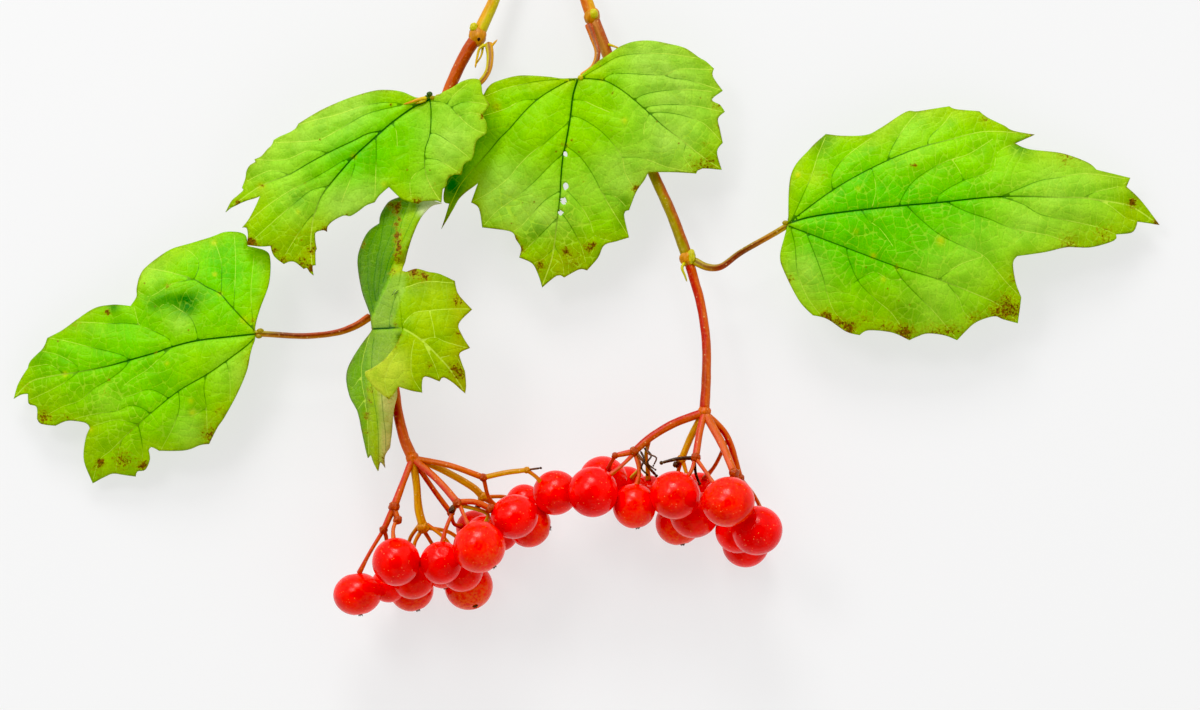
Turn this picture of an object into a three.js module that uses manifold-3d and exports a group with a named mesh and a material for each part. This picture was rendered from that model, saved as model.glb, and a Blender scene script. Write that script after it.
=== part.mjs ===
// A fruiting guelder rose branch (Viburnum opulus), cut and laid on a table, seen from above.
// Two green shoots leave one short woody stem. They carry five three-lobed leaves and end in
// two bunches of red berries. Millimetres, +Z up, the table is z = 0.
// Plan places are measured from the middle of the group of leaves and bunches, and the whole
// branch is then moved so that its origin is the middle of its footprint on the table.
import * as THREE from "three";
import { mergeVertices } from "three/addons/utils/BufferGeometryUtils.js";
import Module from "manifold-3d";

const wasm = await Module();
wasm.setup();

// Driving dimensions
const BLADE = 0.6; // thickness of a leaf blade
const MESH = 4.6; // spacing of the points inside a blade
const LONG_EDGE = 3.2; // a margin stretch longer than this gets a point halfway
const WOOD_R = 2.4; // last year's wood
const SHOOT_R = 1.2; // this year's shoots
const PEDUNCLE_R = 1.0; // the stalk that carries a whole bunch
const RAY_R = 0.62; // the main branches of a bunch
const PEDICEL_R = 0.38; // the stalk of one berry
const PETIOLE_R = 0.62; // leaf stalk
const THREAD_R = 0.25; // stipules and withered flower stalks
const CALYX_R = 0.75; // the dry flower remnant at a berry's far end
const CALYX_HEIGHT = 0.5;
const SEAT = 0.15; // how far the lowest berries and the wood are pressed flat by the table
const FOOTPRINT_CENTRE = [-2.7, 28.4]; // middle of the branch's outline in plan

// Joints of the branch, [x, y, z]
const FORK = [-12, 97, WOOD_R + 0.3];
const NODE_LEFT = [-24.6, 64, 8]; // carries the upper left leaf
const NODE_LEFT_END = [-43.4, 8, 11]; // carries the far left and the folded leaf
const NODE_RIGHT = [-1.6, 68, 7.5]; // carries the middle leaf
const NODE_RIGHT_END = [17.6, 19.4, 10]; // carries the right leaf
const HUB_LEFT = [-37.4, -20.6, 14.5]; // where the left bunch's rays part
const HUB_RIGHT = [20.8, -11.4, 15];

// Materials
const finish = (color, roughness) => new THREE.MeshStandardMaterial({ color, roughness, metalness: 0 });
const WOOD = finish(0x8a7a5c, 0.75);
const GREEN_STEM = finish(0xb9a24a, 0.5);
const RED_STALK = finish(0xa9522a, 0.5);
const LEAF = finish(0x7cc41c, 0.45);
const FRUIT = finish(0xe01408, 0.22);

const smooth = (v, from, to) => THREE.MathUtils.smoothstep(v, from, to);

// Solids

function toSolid(geometry) {
  const bare = geometry.clone();
  bare.deleteAttribute("normal");
  bare.deleteAttribute("uv");
  const merged = mergeVertices(bare, 1e-4);
  return new wasm.Manifold(new wasm.Mesh({
    numProp: 3,
    vertProperties: new Float32Array(merged.attributes.position.array),
    triVerts: new Uint32Array(merged.index.array),
  }));
}

function toGeometry(solid) {
  const { vertProperties, triVerts } = solid.getMesh();
  const geometry = new THREE.BufferGeometry();
  geometry.setAttribute("position", new THREE.BufferAttribute(vertProperties, 3));
  geometry.setIndex(new THREE.BufferAttribute(triVerts, 1));
  geometry.computeVertexNormals();
  return geometry;
}

const fuse = (solids) => solids.reduce((whole, next) => whole.add(next));

// Takes off what reaches below the table.
function seatOnTable(solid) {
  const ground = new THREE.BoxGeometry(400, 400, 20).translate(0, 0, -10);
  return solid.subtract(toSolid(ground));
}

// A stalk along a smooth line through points; radii are spread evenly along it.
function stalk(points, radii, sides = 6, pace = 2.4) {
  const path = new THREE.CatmullRomCurve3(points.map((p) => new THREE.Vector3(...p)));
  const steps = Math.max(2, Math.round(path.getLength() / pace));
  const section = new THREE.Shape(new THREE.EllipseCurve(0, 0, 1, 1).getPoints(sides).slice(0, -1));
  const tube = new THREE.ExtrudeGeometry(section, { steps, extrudePath: path, bevelEnabled: false });
  const stations = path.getSpacedPoints(steps);
  const places = tube.attributes.position;
  const v = new THREE.Vector3();
  for (let i = 0; i < places.count; i++) {
    v.fromBufferAttribute(places, i);
    // Each vertex was drawn one unit away from its own station.
    let at = 0;
    stations.forEach((s, k) => {
      if (Math.abs(v.distanceTo(s) - 1) < Math.abs(v.distanceTo(stations[at]) - 1) - 1e-5) at = k;
    });
    const place = (at / steps) * (radii.length - 1);
    const k = Math.min(Math.floor(place), radii.length - 2);
    const radius = radii.length === 1 ? radii[0] : THREE.MathUtils.lerp(radii[k], radii[k + 1], place - k);
    v.sub(stations[at]).multiplyScalar(radius).add(stations[at]);
    places.setXYZ(i, v.x, v.y, v.z);
  }
  return toSolid(tube);
}

// A swollen joint or bud.
function swelling([x, y, z], [rx, ry, rz], detail = 1) {
  return toSolid(new THREE.IcosahedronGeometry(1, detail).scale(rx, ry, rz).translate(x, y, z));
}

// A berry with its dry calyx, which points away from the stalk's end.
function berry([x, y, z], radius, stalkEnd) {
  const centre = new THREE.Vector3(x, y, z);
  const away = centre.clone().sub(new THREE.Vector3(...stalkEnd)).normalize();
  const body = new THREE.IcosahedronGeometry(radius, 2).translate(x, y, z);
  const calyx = new THREE.ConeGeometry(CALYX_R, CALYX_HEIGHT * 2, 5);
  calyx.applyQuaternion(new THREE.Quaternion().setFromUnitVectors(new THREE.Vector3(0, 1, 0), away));
  calyx.translate(...centre.addScaledVector(away, radius).toArray());
  return toSolid(body).add(toSolid(calyx));
}

// Blades: an outline is a list of stretches. Each stretch runs on from the last point of the
// one before, smoothly through its own points, and ends in a corner: a tooth, a tip or a notch.

function marginOf(stretches) {
  const margin = [];
  let corner = new THREE.Vector2(...stretches.at(-1).at(-1));
  for (const stretch of stretches) {
    const knots = [corner, ...stretch.map((p) => new THREE.Vector2(...p))];
    const curve = new THREE.SplineCurve(knots);
    for (let k = 0; k < knots.length - 1; k++) {
      margin.push(knots[k]);
      if (knots[k].distanceTo(knots[k + 1]) > LONG_EDGE) margin.push(curve.getPoint((k + 0.5) / (knots.length - 1)));
    }
    corner = knots.at(-1);
  }
  return THREE.ShapeUtils.isClockWise(margin) ? margin.reverse() : margin;
}

const turn = (a, b, c) => (b.x - a.x) * (c.y - a.y) - (b.y - a.y) * (c.x - a.x);

// True where d lies inside the circle through a, b and c.
function inCircle(a, b, c, d) {
  const [p, q, r] = [a, b, c].map((v) => [v.x - d.x, v.y - d.y, (v.x - d.x) ** 2 + (v.y - d.y) ** 2]);
  return p[0] * (q[1] * r[2] - r[1] * q[2]) - p[1] * (q[0] * r[2] - r[0] * q[2])
    + p[2] * (q[0] * r[1] - r[0] * q[1]) > 1e-7;
}

// Turns the edges between triangles until no triangle is needlessly thin.
function evenOut(points, triangles) {
  const key = (a, b) => a * 4096 + b;
  const owner = new Map();
  const own = (t) => t.forEach((v, k) => owner.set(key(v, t[(k + 1) % 3]), t));
  triangles.forEach(own);
  for (let changed = true; changed;) {
    changed = false;
    for (const t of triangles) {
      for (let k = 0; k < 3; k++) {
        const [a, b, c] = [t[k], t[(k + 1) % 3], t[(k + 2) % 3]];
        const other = owner.get(key(b, a));
        if (!other) continue;
        const d = other.find((v) => v !== a && v !== b);
        if (!inCircle(points[a], points[b], points[c], points[d])) continue;
        if (turn(points[c], points[a], points[d]) < 1e-6 || turn(points[d], points[b], points[c]) < 1e-6) continue;
        owner.delete(key(a, b));
        owner.delete(key(b, a));
        t.splice(0, 3, c, a, d);
        other.splice(0, 3, d, b, c);
        own(t);
        own(other);
        changed = true;
        break;
      }
    }
  }
}

// Splits a margin into even triangles, with points inside it on a staggered grid.
function triangulate(margin, spacing) {
  const points = [...margin];
  const triangles = THREE.ShapeUtils.triangulateShape(margin, []).map((t) => [...t]);
  for (const t of triangles) if (turn(points[t[0]], points[t[1]], points[t[2]]) < 0) t.reverse();
  const box = new THREE.Box2().setFromPoints(margin);
  for (let row = 0, y = box.min.y; y < box.max.y; row++, y += spacing * 0.87) {
    for (let x = box.min.x + (row % 2) * spacing * 0.5 + 0.013; x < box.max.x; x += spacing) {
      const p = new THREE.Vector2(x, y + 0.017);
      if (margin.some((m) => m.distanceTo(p) < spacing * 0.52)) continue;
      const home = triangles.find((t) => t.every((v, k) => turn(points[v], points[t[(k + 1) % 3]], p) > 1e-3));
      if (!home) continue;
      const [a, b, c] = home;
      const i = points.push(p) - 1;
      home.splice(0, 3, a, b, i);
      triangles.push([b, c, i], [c, a, i]);
    }
  }
  evenOut(points, triangles);
  return { points, triangles };
}

// A blade: the flat outline is laid over the height function and given its thickness
// along the surface's own normal, split alike on both faces.
function blade(stretches, height, spacing = MESH) {
  const margin = marginOf(stretches);
  const { points, triangles } = triangulate(margin, spacing);
  const sheet = new THREE.BufferGeometry();
  sheet.setAttribute("position", new THREE.Float32BufferAttribute(
    points.flatMap(({ x, y }) => [x, y, height(x, y)]), 3));
  sheet.setIndex(triangles.flat());
  sheet.computeVertexNormals();
  const place = sheet.attributes.position;
  const normal = sheet.attributes.normal;
  const both = [];
  for (const side of [1, -1]) {
    for (let i = 0; i < points.length; i++) {
      const off = (side * BLADE) / 2;
      both.push(place.getX(i) + off * normal.getX(i), place.getY(i) + off * normal.getY(i),
        place.getZ(i) + off * normal.getZ(i));
    }
  }
  const under = points.length;
  const faces = triangles.flatMap(([a, b, c]) => [a, b, c, c + under, b + under, a + under]);
  margin.forEach((_, i) => {
    const j = (i + 1) % margin.length;
    faces.push(j, i, i + under, i + under, j + under, j);
  });
  const slab = new THREE.BufferGeometry();
  slab.setAttribute("position", new THREE.Float32BufferAttribute(both, 3));
  slab.setIndex(faces);
  return slab;
}

// Height of an arched blade above its base: it climbs by pitch and sinks by sag along its
// heading, and sinks to both sides by cup. A dent is [x, y, reach, height].
function arched({ heading, pitch, sag, cup, dents }) {
  const cos = Math.cos(THREE.MathUtils.degToRad(heading));
  const sin = Math.sin(THREE.MathUtils.degToRad(heading));
  return (x, y) => {
    const along = x * cos + y * sin;
    const across = y * cos - x * sin;
    const sunk = cup[across > 0 ? 0 : 1] * across ** 2;
    const dented = dents.reduce((sum, [dx, dy, reach, rise]) =>
      sum + rise * Math.exp(-((x - dx) ** 2 + (y - dy) ** 2) / reach ** 2), 0);
    return pitch * along - sag * along ** 2 - sunk + dented;
  };
}

// The folded leaf rises steeply from its base. Its middle lobe bends over to face up, and its
// side lobes hang up and down the page and fold back along a ridge near their right margins.
const FOLD_ROUNDING = 3;

const climb = (x, y) => x * (1.88 - (y > 0 ? 1.3 * smooth(y, 9, 25) : 0.8 * smooth(-y, 6, 26)));
const droop = (y) => 0.035 * Math.max(0, y - 11) ** 2 + 0.016 * Math.max(0, -y - 8) ** 2;
const steepPart = (x, y) => climb(x, y) - droop(y);
const facingPart = (x, y) => 11.2 - 0.1 * (x - 6) - 0.02 * (y + 1) ** 2 - 0.02 * Math.max(0, x - 8) ** 2;
const foldedBack = (x, y, ridge) => steepPart(ridge, y) - 0.9 * (x - ridge);

// The sheet that the steep part runs into: the middle lobe, or the folded margin of a side lobe
function crestPart(x, y) {
  const middle = facingPart(x, y);
  if (y > 10.5) return THREE.MathUtils.lerp(middle, foldedBack(x, y, 4.1 + 0.63 * (y - 12.9)), smooth(y, 10.5, 14));
  if (x < 5.2) return THREE.MathUtils.lerp(middle, foldedBack(x, y, 1.8), smooth(-y, 6, 10));
  return middle;
}

// The amount that rounds the crease between two heights, and the lower of both, rounded.
const rounding = (a, b, reach) => Math.max(0, reach - Math.abs(a - b)) ** 2 / (4 * reach);
const lower = (a, b, reach) => Math.min(a, b) - rounding(a, b, reach);
const foldedHeight = (x, y) => lower(steepPart(x, y), crestPart(x, y), FOLD_ROUNDING);
const FLAP_STEP = 0.15; // the flap stands this much proud where it joins the middle lobe
const flapHeight = (x, y) => {
  const facing = facingPart(x, y);
  return facing - rounding(steepPart(x, y), facing, FOLD_ROUNDING) + FLAP_STEP;
};

// The five leaves. base is where the stalk meets the blade; outlines are measured from it.
const LEAVES = {
  right: {
    base: [37.6, 26.2, 13],
    height: arched({
      heading: 0, pitch: 0.12, sag: 0.0032, cup: [0.008, 0.009],
      dents: [[30, 13, 8, 0.9], [28, -12, 8, 0.8], [56, 6, 7, 0.8], [45, 17, 6, -0.8], [58, -3, 5, -0.6]],
    }),
    outline: [
      [[0.6, 9.8], [4.4, 15], [7.6, 18]],
      [[11, 17.6], [15.6, 17.8], [18.6, 19.2], [23.6, 22.4], [26.2, 22.6], [32.4, 23.6]],
      [[33.8, 23], [38.4, 22.6]],
      [[40, 21.4], [43.4, 19.8], [45.2, 18.8], [49.6, 18]],
      [[48.2, 17.4], [45.6, 16.2]],
      [[48.4, 15], [55, 14.2], [60.2, 12.4], [62, 11]],
      [[69, 9.4]],
      [[68.2, 7.6]],
      [[71.2, 4.8], [75, 0]],
      [[72.2, 0.4], [70.4, 0.6]],
      [[70.2, -0.2], [69.2, -1.6], [66, -2]],
      [[65.6, -3.2], [60.8, -4.6], [56, -4.6], [51.4, -5.6], [45.8, -6.4]],
      [[45, -7.8], [45.6, -11.6], [46.8, -14.6]],
      [[46.2, -19.8]],
      [[43.2, -19], [41.2, -18.4], [37.4, -19.8], [34, -23.2]],
      [[31.4, -22.2], [28, -21.8], [25.6, -22.6], [24.4, -23.2]],
      [[20.8, -21.6], [16.2, -21.2], [14.4, -22.2]],
      [[11.6, -21.4], [8, -19], [5, -18.2]],
      [[2.2, -15.2], [-0.8, -9.4], [-1.6, -6.4], [-0.8, -2.8], [0, 0]],
    ],
  },
  far_left: {
    base: [-68.8, 4.4, 13],
    height: arched({
      heading: 195, pitch: 0.05, sag: 0.0045, cup: [0.012, 0.012],
      dents: [[-14.2, 6.6, 2.5, -0.8], [-18, 10, 7, 0.8], [-20, -18, 7, 0.8], [-36, -6, 8, 0.7]],
    }),
    outline: [
      [[-0.2, 1], [0.8, 4.6], [2.6, 9.8], [2.8, 14.6], [1.8, 16.4], [-1.8, 17.4]],
      [[-2.2, 19.4], [-3.8, 20.2], [-6.4, 20.2], [-8.8, 19.4], [-12.4, 18.2], [-16.6, 17], [-19.6, 15.2],
        [-22.6, 12.8], [-23.6, 10.8]],
      [[-24, 8.8], [-24, 7.2], [-25.2, 5.4]],
      [[-27.2, 5.6], [-29.2, 5.6], [-32.4, 5], [-36, 2.8], [-39, 0.6], [-42.2, -1]],
      [[-43, -3], [-45.6, -5.6], [-46.2, -7]],
      [[-48.2, -10.2], [-49.2, -13.2]],
      [[-47.8, -12.4], [-46.2, -12.2]],
      [[-46, -14.2], [-44.4, -14.8], [-44.4, -17.2]],
      [[-43.6, -18.2], [-40.6, -18.6]],
      [[-38, -17.6], [-34.4, -18], [-33.6, -19]],
      [[-34.4, -20.8], [-35, -24], [-34.8, -26.4], [-33.4, -30.2]],
      [[-30.8, -28.8], [-29.2, -28.2], [-27.2, -28.4], [-24.6, -28.8]],
      [[-24.2, -27.8], [-22.6, -27.4], [-21.6, -25.4], [-21.8, -23.6]],
      [[-21.2, -22.8], [-19.6, -23.6]],
      [[-14.4, -23.4], [-11.4, -22.4], [-9.6, -22.2]],
      [[-7.8, -18.8], [-6.4, -16.8], [-3.8, -12.2], [-1.8, -7.6], [-1, -4], [-0.2, -1.2], [0, 0]],
    ],
  },
  upper_left: {
    base: [-33.8, 51.4, 18.5],
    height: arched({
      heading: 225, pitch: 0.06, sag: 0.004, cup: [0.004, 0.012],
      dents: [[-20, -8, 8, 0.9], [-15, -18, 7, 0.7], [-30, -26, 7, 0.8], [4, -12, 6, 0.7]],
    }),
    outline: [
      [[-2.6, -0.2], [-5.4, 0.9], [-8, 1.3], [-10.8, 1.2], [-14.4, 0.3], [-18, -1], [-22.2, -2.9], [-26.3, -5.3]],
      [[-26.8, -6.2], [-28, -7], [-30, -7.8], [-31.3, -8.5]],
      [[-31.7, -9.5], [-32.6, -10.4], [-33.8, -11.7], [-35.2, -12.3]],
      [[-35, -12.8], [-36.1, -13.5], [-36.8, -14.7], [-37, -16], [-37.7, -18]],
      [[-37.4, -18.4], [-38.6, -19.5], [-39.9, -20.6], [-41.1, -22.8]],
      [[-40, -21.9], [-37.6, -20.8], [-35.1, -20.1], [-34, -19.7]],
      [[-34.9, -21.7], [-36.3, -24.2], [-37.7, -25.9]],
      [[-36.8, -26], [-36.5, -27.2], [-36.6, -28.4], [-36.7, -29.4]],
      [[-34.1, -29.7], [-31.9, -29.6]],
      [[-31.6, -30.9], [-30.9, -32], [-29.3, -33.2]],
      [[-28.1, -32.7], [-26.9, -32.9], [-25.3, -34.2]],
      [[-24.7, -34], [-24.2, -34.8], [-23.4, -35.5]],
      [[-23.6, -33.7], [-23, -33.5]],
      [[-23, -30.9], [-22.7, -30.3]],
      [[-23, -28.5], [-23, -27.2]],
      [[-22.6, -26.8], [-21.3, -26.5], [-20.6, -26.8]],
      [[-20.5, -25.9], [-19.4, -24.7], [-17.2, -23.6], [-15.9, -23.7], [-14.2, -22.7], [-12.7, -21.6], [-11, -21]],
      [[-10.3, -19.9], [-9.4, -19], [-8.2, -18]],
      [[-7.5, -18.7], [-6, -20.1], [-4.8, -20.7], [-2.3, -21.3]],
      [[-1.5, -20.8], [1.1, -20.7], [2.2, -21.1]],
      [[2.3, -20.2], [2.5, -18.4]],
      [[3.2, -17.7], [3.4, -16.7], [3.9, -16], [4.8, -15.5], [6.2, -15.5]],
      [[6.4, -14.7], [6.6, -13.7], [7.3, -13], [8.2, -12.7]],
      [[8.7, -11.4], [8.9, -10], [9.4, -8.6], [11.2, -7.3]],
      [[11.3, -5.6], [10.9, -4.5], [10.4, -3.7]],
      [[10.8, -3.1], [11.9, -1.6]],
      [[11.1, -0.4], [10.4, 0.7], [10.2, 2.2], [9.8, 3.3], [9, 3.6], [7.6, 3.5], [6, 2.9], [4.5, 1.9],
        [2.7, 1], [1.5, 0.3], [0, 0]],
    ],
  },
  middle: {
    base: [-4.2, 55.2, 15],
    height: arched({
      heading: 260, pitch: 0.02, sag: 0.005, cup: [0.0075, 0.0075],
      dents: [[-18, -14, 4, -1.2], [-8, -12, 6, 0.7], [10, -12, 7, 0.8], [-2, -28, 6, 0.6], [22, -4, 6, -0.6]],
    }),
    outline: [
      [[0.8, 0.8], [3.6, 3.2], [6.2, 5], [8.2, 6.4], [11, 7.4], [14.4, 7.6], [18, 7], [21.2, 6.2], [24, 4.4],
        [25.4, 3.6], [27, 2.2]],
      [[26.8, 0.6], [28.8, -2.2]],
      [[26.6, -4], [28.2, -5], [29.2, -6.4]],
      [[27.8, -7.8], [28.2, -10], [28.8, -12.6]],
      [[27.6, -14.4], [28.6, -18]],
      [[24.4, -17.8], [23.4, -18.8]],
      [[19.2, -18.6], [13.8, -18.6]],
      [[13, -20.2], [11.4, -22.6], [10, -26.2]],
      [[9, -27], [10, -31.6]],
      [[7.4, -32.4], [5, -33.2], [3.8, -35.6], [1.6, -38.2]],
      [[0, -38], [-3, -39.6]],
      [[-4.4, -39.2], [-7.4, -41.6]],
      [[-8.2, -39], [-9.4, -36.8], [-12, -35.6]],
      [[-11.6, -33.8], [-12.6, -32], [-13.8, -30.4], [-19.4, -29.6]],
      [[-20, -25.8], [-21.6, -24.6]],
      [[-20.2, -20.8]],
      [[-23.6, -23.4], [-25.2, -25.8], [-27.6, -29.8]],
      [[-26, -24.8]],
      [[-27, -24.4], [-27, -22.2], [-25.8, -17.2]],
      [[-24.6, -14.4], [-23.2, -11.2], [-22.6, -8.6]],
      [[-21, -6.6], [-19.4, -3.8], [-18.4, -2]],
      [[-17.4, -1], [-15.4, -0.2], [-11.8, 0.6], [-6.8, 0.4], [-3.8, 0], [0, 0]],
    ],
  },
};

const FOLDED = {
  base: [-45.4, 5.2, 16.5],
  outline: [
    [[-0.4, 3], [-2.2, 7.8], [-3, 13.4], [-2.2, 16.8], [-0.8, 19.4], [1.4, 21]],
    [[1.6, 22.8], [3, 25.2], [4.4, 26]],
    [[7.4, 26.6], [11, 25.8], [13.8, 25]],
    [[11.8, 24.4], [9.8, 22.2], [8, 17.8], [7, 14.8], [6.2, 11.4]],
    [[7, 11.2], [9, 11.8], [11.4, 11.2], [13.6, 10.8], [16.6, 9.4]],
    [[16.8, 8.2], [17.4, 6.6], [20, 3.8]],
    [[17.4, 1], [18, -1.2], [19.6, -3.8]],
    [[17.6, -4.8], [17.8, -6.2], [18.6, -8.4]],
    [[18.8, -11.2], [18.6, -12.8]],
    [[16.4, -10.8], [14.4, -9.6], [13.6, -10.4]],
    [[10.8, -9.4], [10.2, -10.6], [10.2, -12.6]],
    [[8, -12.2], [6.6, -11.6]],
    [[6.4, -8], [5.5, -6]],
    [[4.7, -8], [4.7, -10.4], [4.8, -13.2], [4.2, -16.2], [3.8, -20.2], [3.4, -23.6]],
    [[2.4, -25.4], [2.4, -27.8]],
    [[1.5, -26.6], [1, -28.4]],
    [[0.2, -26.8], [-0.4, -25.2], [-1, -25.8]],
    [[-1.4, -24.2], [-2.2, -20.2], [-3, -16.6], [-4.8, -13.2], [-5.4, -9.8], [-4.8, -7.2], [-3, -4.2],
      [-0.4, -0.8], [0, 0]],
  ],
  // The part of the middle lobe that overhangs the lower side lobe
  flap: [
    [[7.6, -4.4], [5.4, -5]],
    [[2.4, -6.8], [-0.8, -8.4]],
    [[-1, -9.2], [0.2, -10.8], [1.2, -12], [3.6, -13.9]],
    [[4.7, -12.7], [6.2, -11.2], [8.2, -10.6]],
  ],
};

// Puts a blade's geometry at its base.
const placed = (geometry, [x, y, z]) => geometry.translate(x, y, z);

// Leaf stalks: from beside the shoot to just under the blade's base
const PETIOLES = {
  right: [[19.5, 18.6, 10.7], [21.6, 17.5, 11.4], [24, 17.6, 11.8], [28, 20.4, 12], [35, 24.4, 12.2],
    [36.8, 25.6, 12.3]],
  far_left: [[-45.7, 7.9, 11.4], [-48.6, 6, 11.7], [-52.2, 4.6, 12], [-58.8, 3.8, 12.4], [-67.9, 4.2, 12.5]],
  upper_left: [[-22.4, 62.8, 9.4], [-22, 60, 10.6], [-22.4, 56.8, 12.4], [-24.2, 54.2, 14.6], [-28.5, 52, 16.2],
    [-33, 51.2, 17.2]],
  middle: [[-3, 66.4, 9.1], [-2.6, 63.6, 10.2], [-1.2, 60.4, 11.8], [-1.6, 57.6, 13], [-3.9, 55.5, 13.8]],
  folded: [[-43.8, 6.8, 12.7], [-44.6, 5.8, 14.4], [-45.4, 5, 15.4]],
};

function petiole(name) {
  const points = PETIOLES[name];
  const solids = [stalk(points, [PETIOLE_R * 1.35, PETIOLE_R, PETIOLE_R * 0.95, PETIOLE_R])];
  if (name === "upper_left") {
    // Two stipules grow from the foot of this stalk.
    solids.push(stalk([[-22.6, 62.2, 9.6], [-24, 61.6, 10.2], [-24.6, 59.6, 10.6], [-25, 57.4, 10.8]],
      [THREAD_R * 1.3, THREAD_R], 4));
    solids.push(stalk([[-22.2, 61.4, 10], [-20.5, 63.2, 10.6]], [THREAD_R * 1.4, THREAD_R], 4));
  }
  return fuse(solids);
}

// Stems

function woodyStem() {
  const [x, y, z] = FORK;
  const cutEnd = [x + 1, y + 12, WOOD_R - SEAT];
  return seatOnTable(fuse([
    stalk([cutEnd, [x + 0.6, y + 6, WOOD_R - SEAT], [x, y, z]], [WOOD_R, WOOD_R * 0.96, WOOD_R * 1.1], 10, 3),
    stalk([[x, y, z], [x - 1.6, y - 3.4, z + 0.6]], [WOOD_R * 1.05, SHOOT_R * 1.5], 10),
    stalk([[x, y, z], [x + 1.6, y - 3.4, z + 0.6]], [WOOD_R * 1.05, SHOOT_R * 1.5], 10),
    swelling([x, y - 0.6, z + 0.2], [2.9, 2.4, 2.5]),
  ]));
}

function leftShoot() {
  const [x, y, z] = NODE_LEFT;
  const [ex, ey, ez] = NODE_LEFT_END;
  const foot = [FORK[0] - 1.8, FORK[1] - 3.9, FORK[2] + 0.7];
  return fuse([
    stalk([foot, [-17, 83, 5.2], [-21.4, 71, 6.8], NODE_LEFT], [SHOOT_R * 1.35, SHOOT_R, SHOOT_R, SHOOT_R * 1.3], 8, 3),
    stalk([NODE_LEFT, [-27, 60.3, 8.2], [-30.3, 53.2, 8.6], [-34.6, 41, 9.2], [-37.8, 31, 9.6], [-40, 25, 10],
      [-42.6, 13, 10.8], NODE_LEFT_END], [SHOOT_R * 1.2, SHOOT_R, SHOOT_R * 0.95, SHOOT_R * 0.9], 8, 3.4),
    swelling([x, y, z], [1.9, 2.3, 1.8]),
    swelling([x - 0.7, y + 1.7, z + 0.7], [0.9, 1, 0.9]),
    swelling([ex, ey, ez], [1.8, 1.9, 1.6]),
  ]);
}

function rightShoot() {
  const [x, y, z] = NODE_RIGHT;
  const [ex, ey, ez] = NODE_RIGHT_END;
  const foot = [FORK[0] + 1.8, FORK[1] - 3.9, FORK[2] + 0.7];
  return fuse([
    stalk([foot, [-6.8, 83, 5.2], [-3, 72, 6.8], NODE_RIGHT], [SHOOT_R * 1.35, SHOOT_R, SHOOT_R, SHOOT_R * 1.25], 8, 3),
    stalk([NODE_RIGHT, [1, 61.6, 7.8], [6, 48, 8.2], [10.6, 36.6, 8.6], [14.2, 28.6, 9.2], NODE_RIGHT_END],
      [SHOOT_R * 1.2, SHOOT_R, SHOOT_R, SHOOT_R, SHOOT_R * 1.1], 8, 3.4),
    swelling([x, y, z], [1.7, 2, 1.7]),
    swelling([x + 0.3, y + 0.4, z + 1.1], [0.95, 1.1, 0.9]),
    swelling([ex, ey, ez], [1.8, 1.9, 1.7]),
    swelling([ex + 0.8, ey + 0.5, ez + 1], [0.9, 1, 0.9]),
    stalk([[1.4, 62.4, 8.2], [4, 61.4, 9.6]], [THREAD_R * 1.3, THREAD_R], 4),
    stalk([[17, 18.6, 11.2], [16.4, 17.4, 12.2], [17, 15.8, 12.4]], [THREAD_R * 1.3, THREAD_R], 4),
  ]);
}

// The bunches. A stalk is [radius at its start, radius at its end, ...points]. A berry is
// [x, y, z, radius] and hangs on the stalk of the same number in pedicels.

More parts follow.
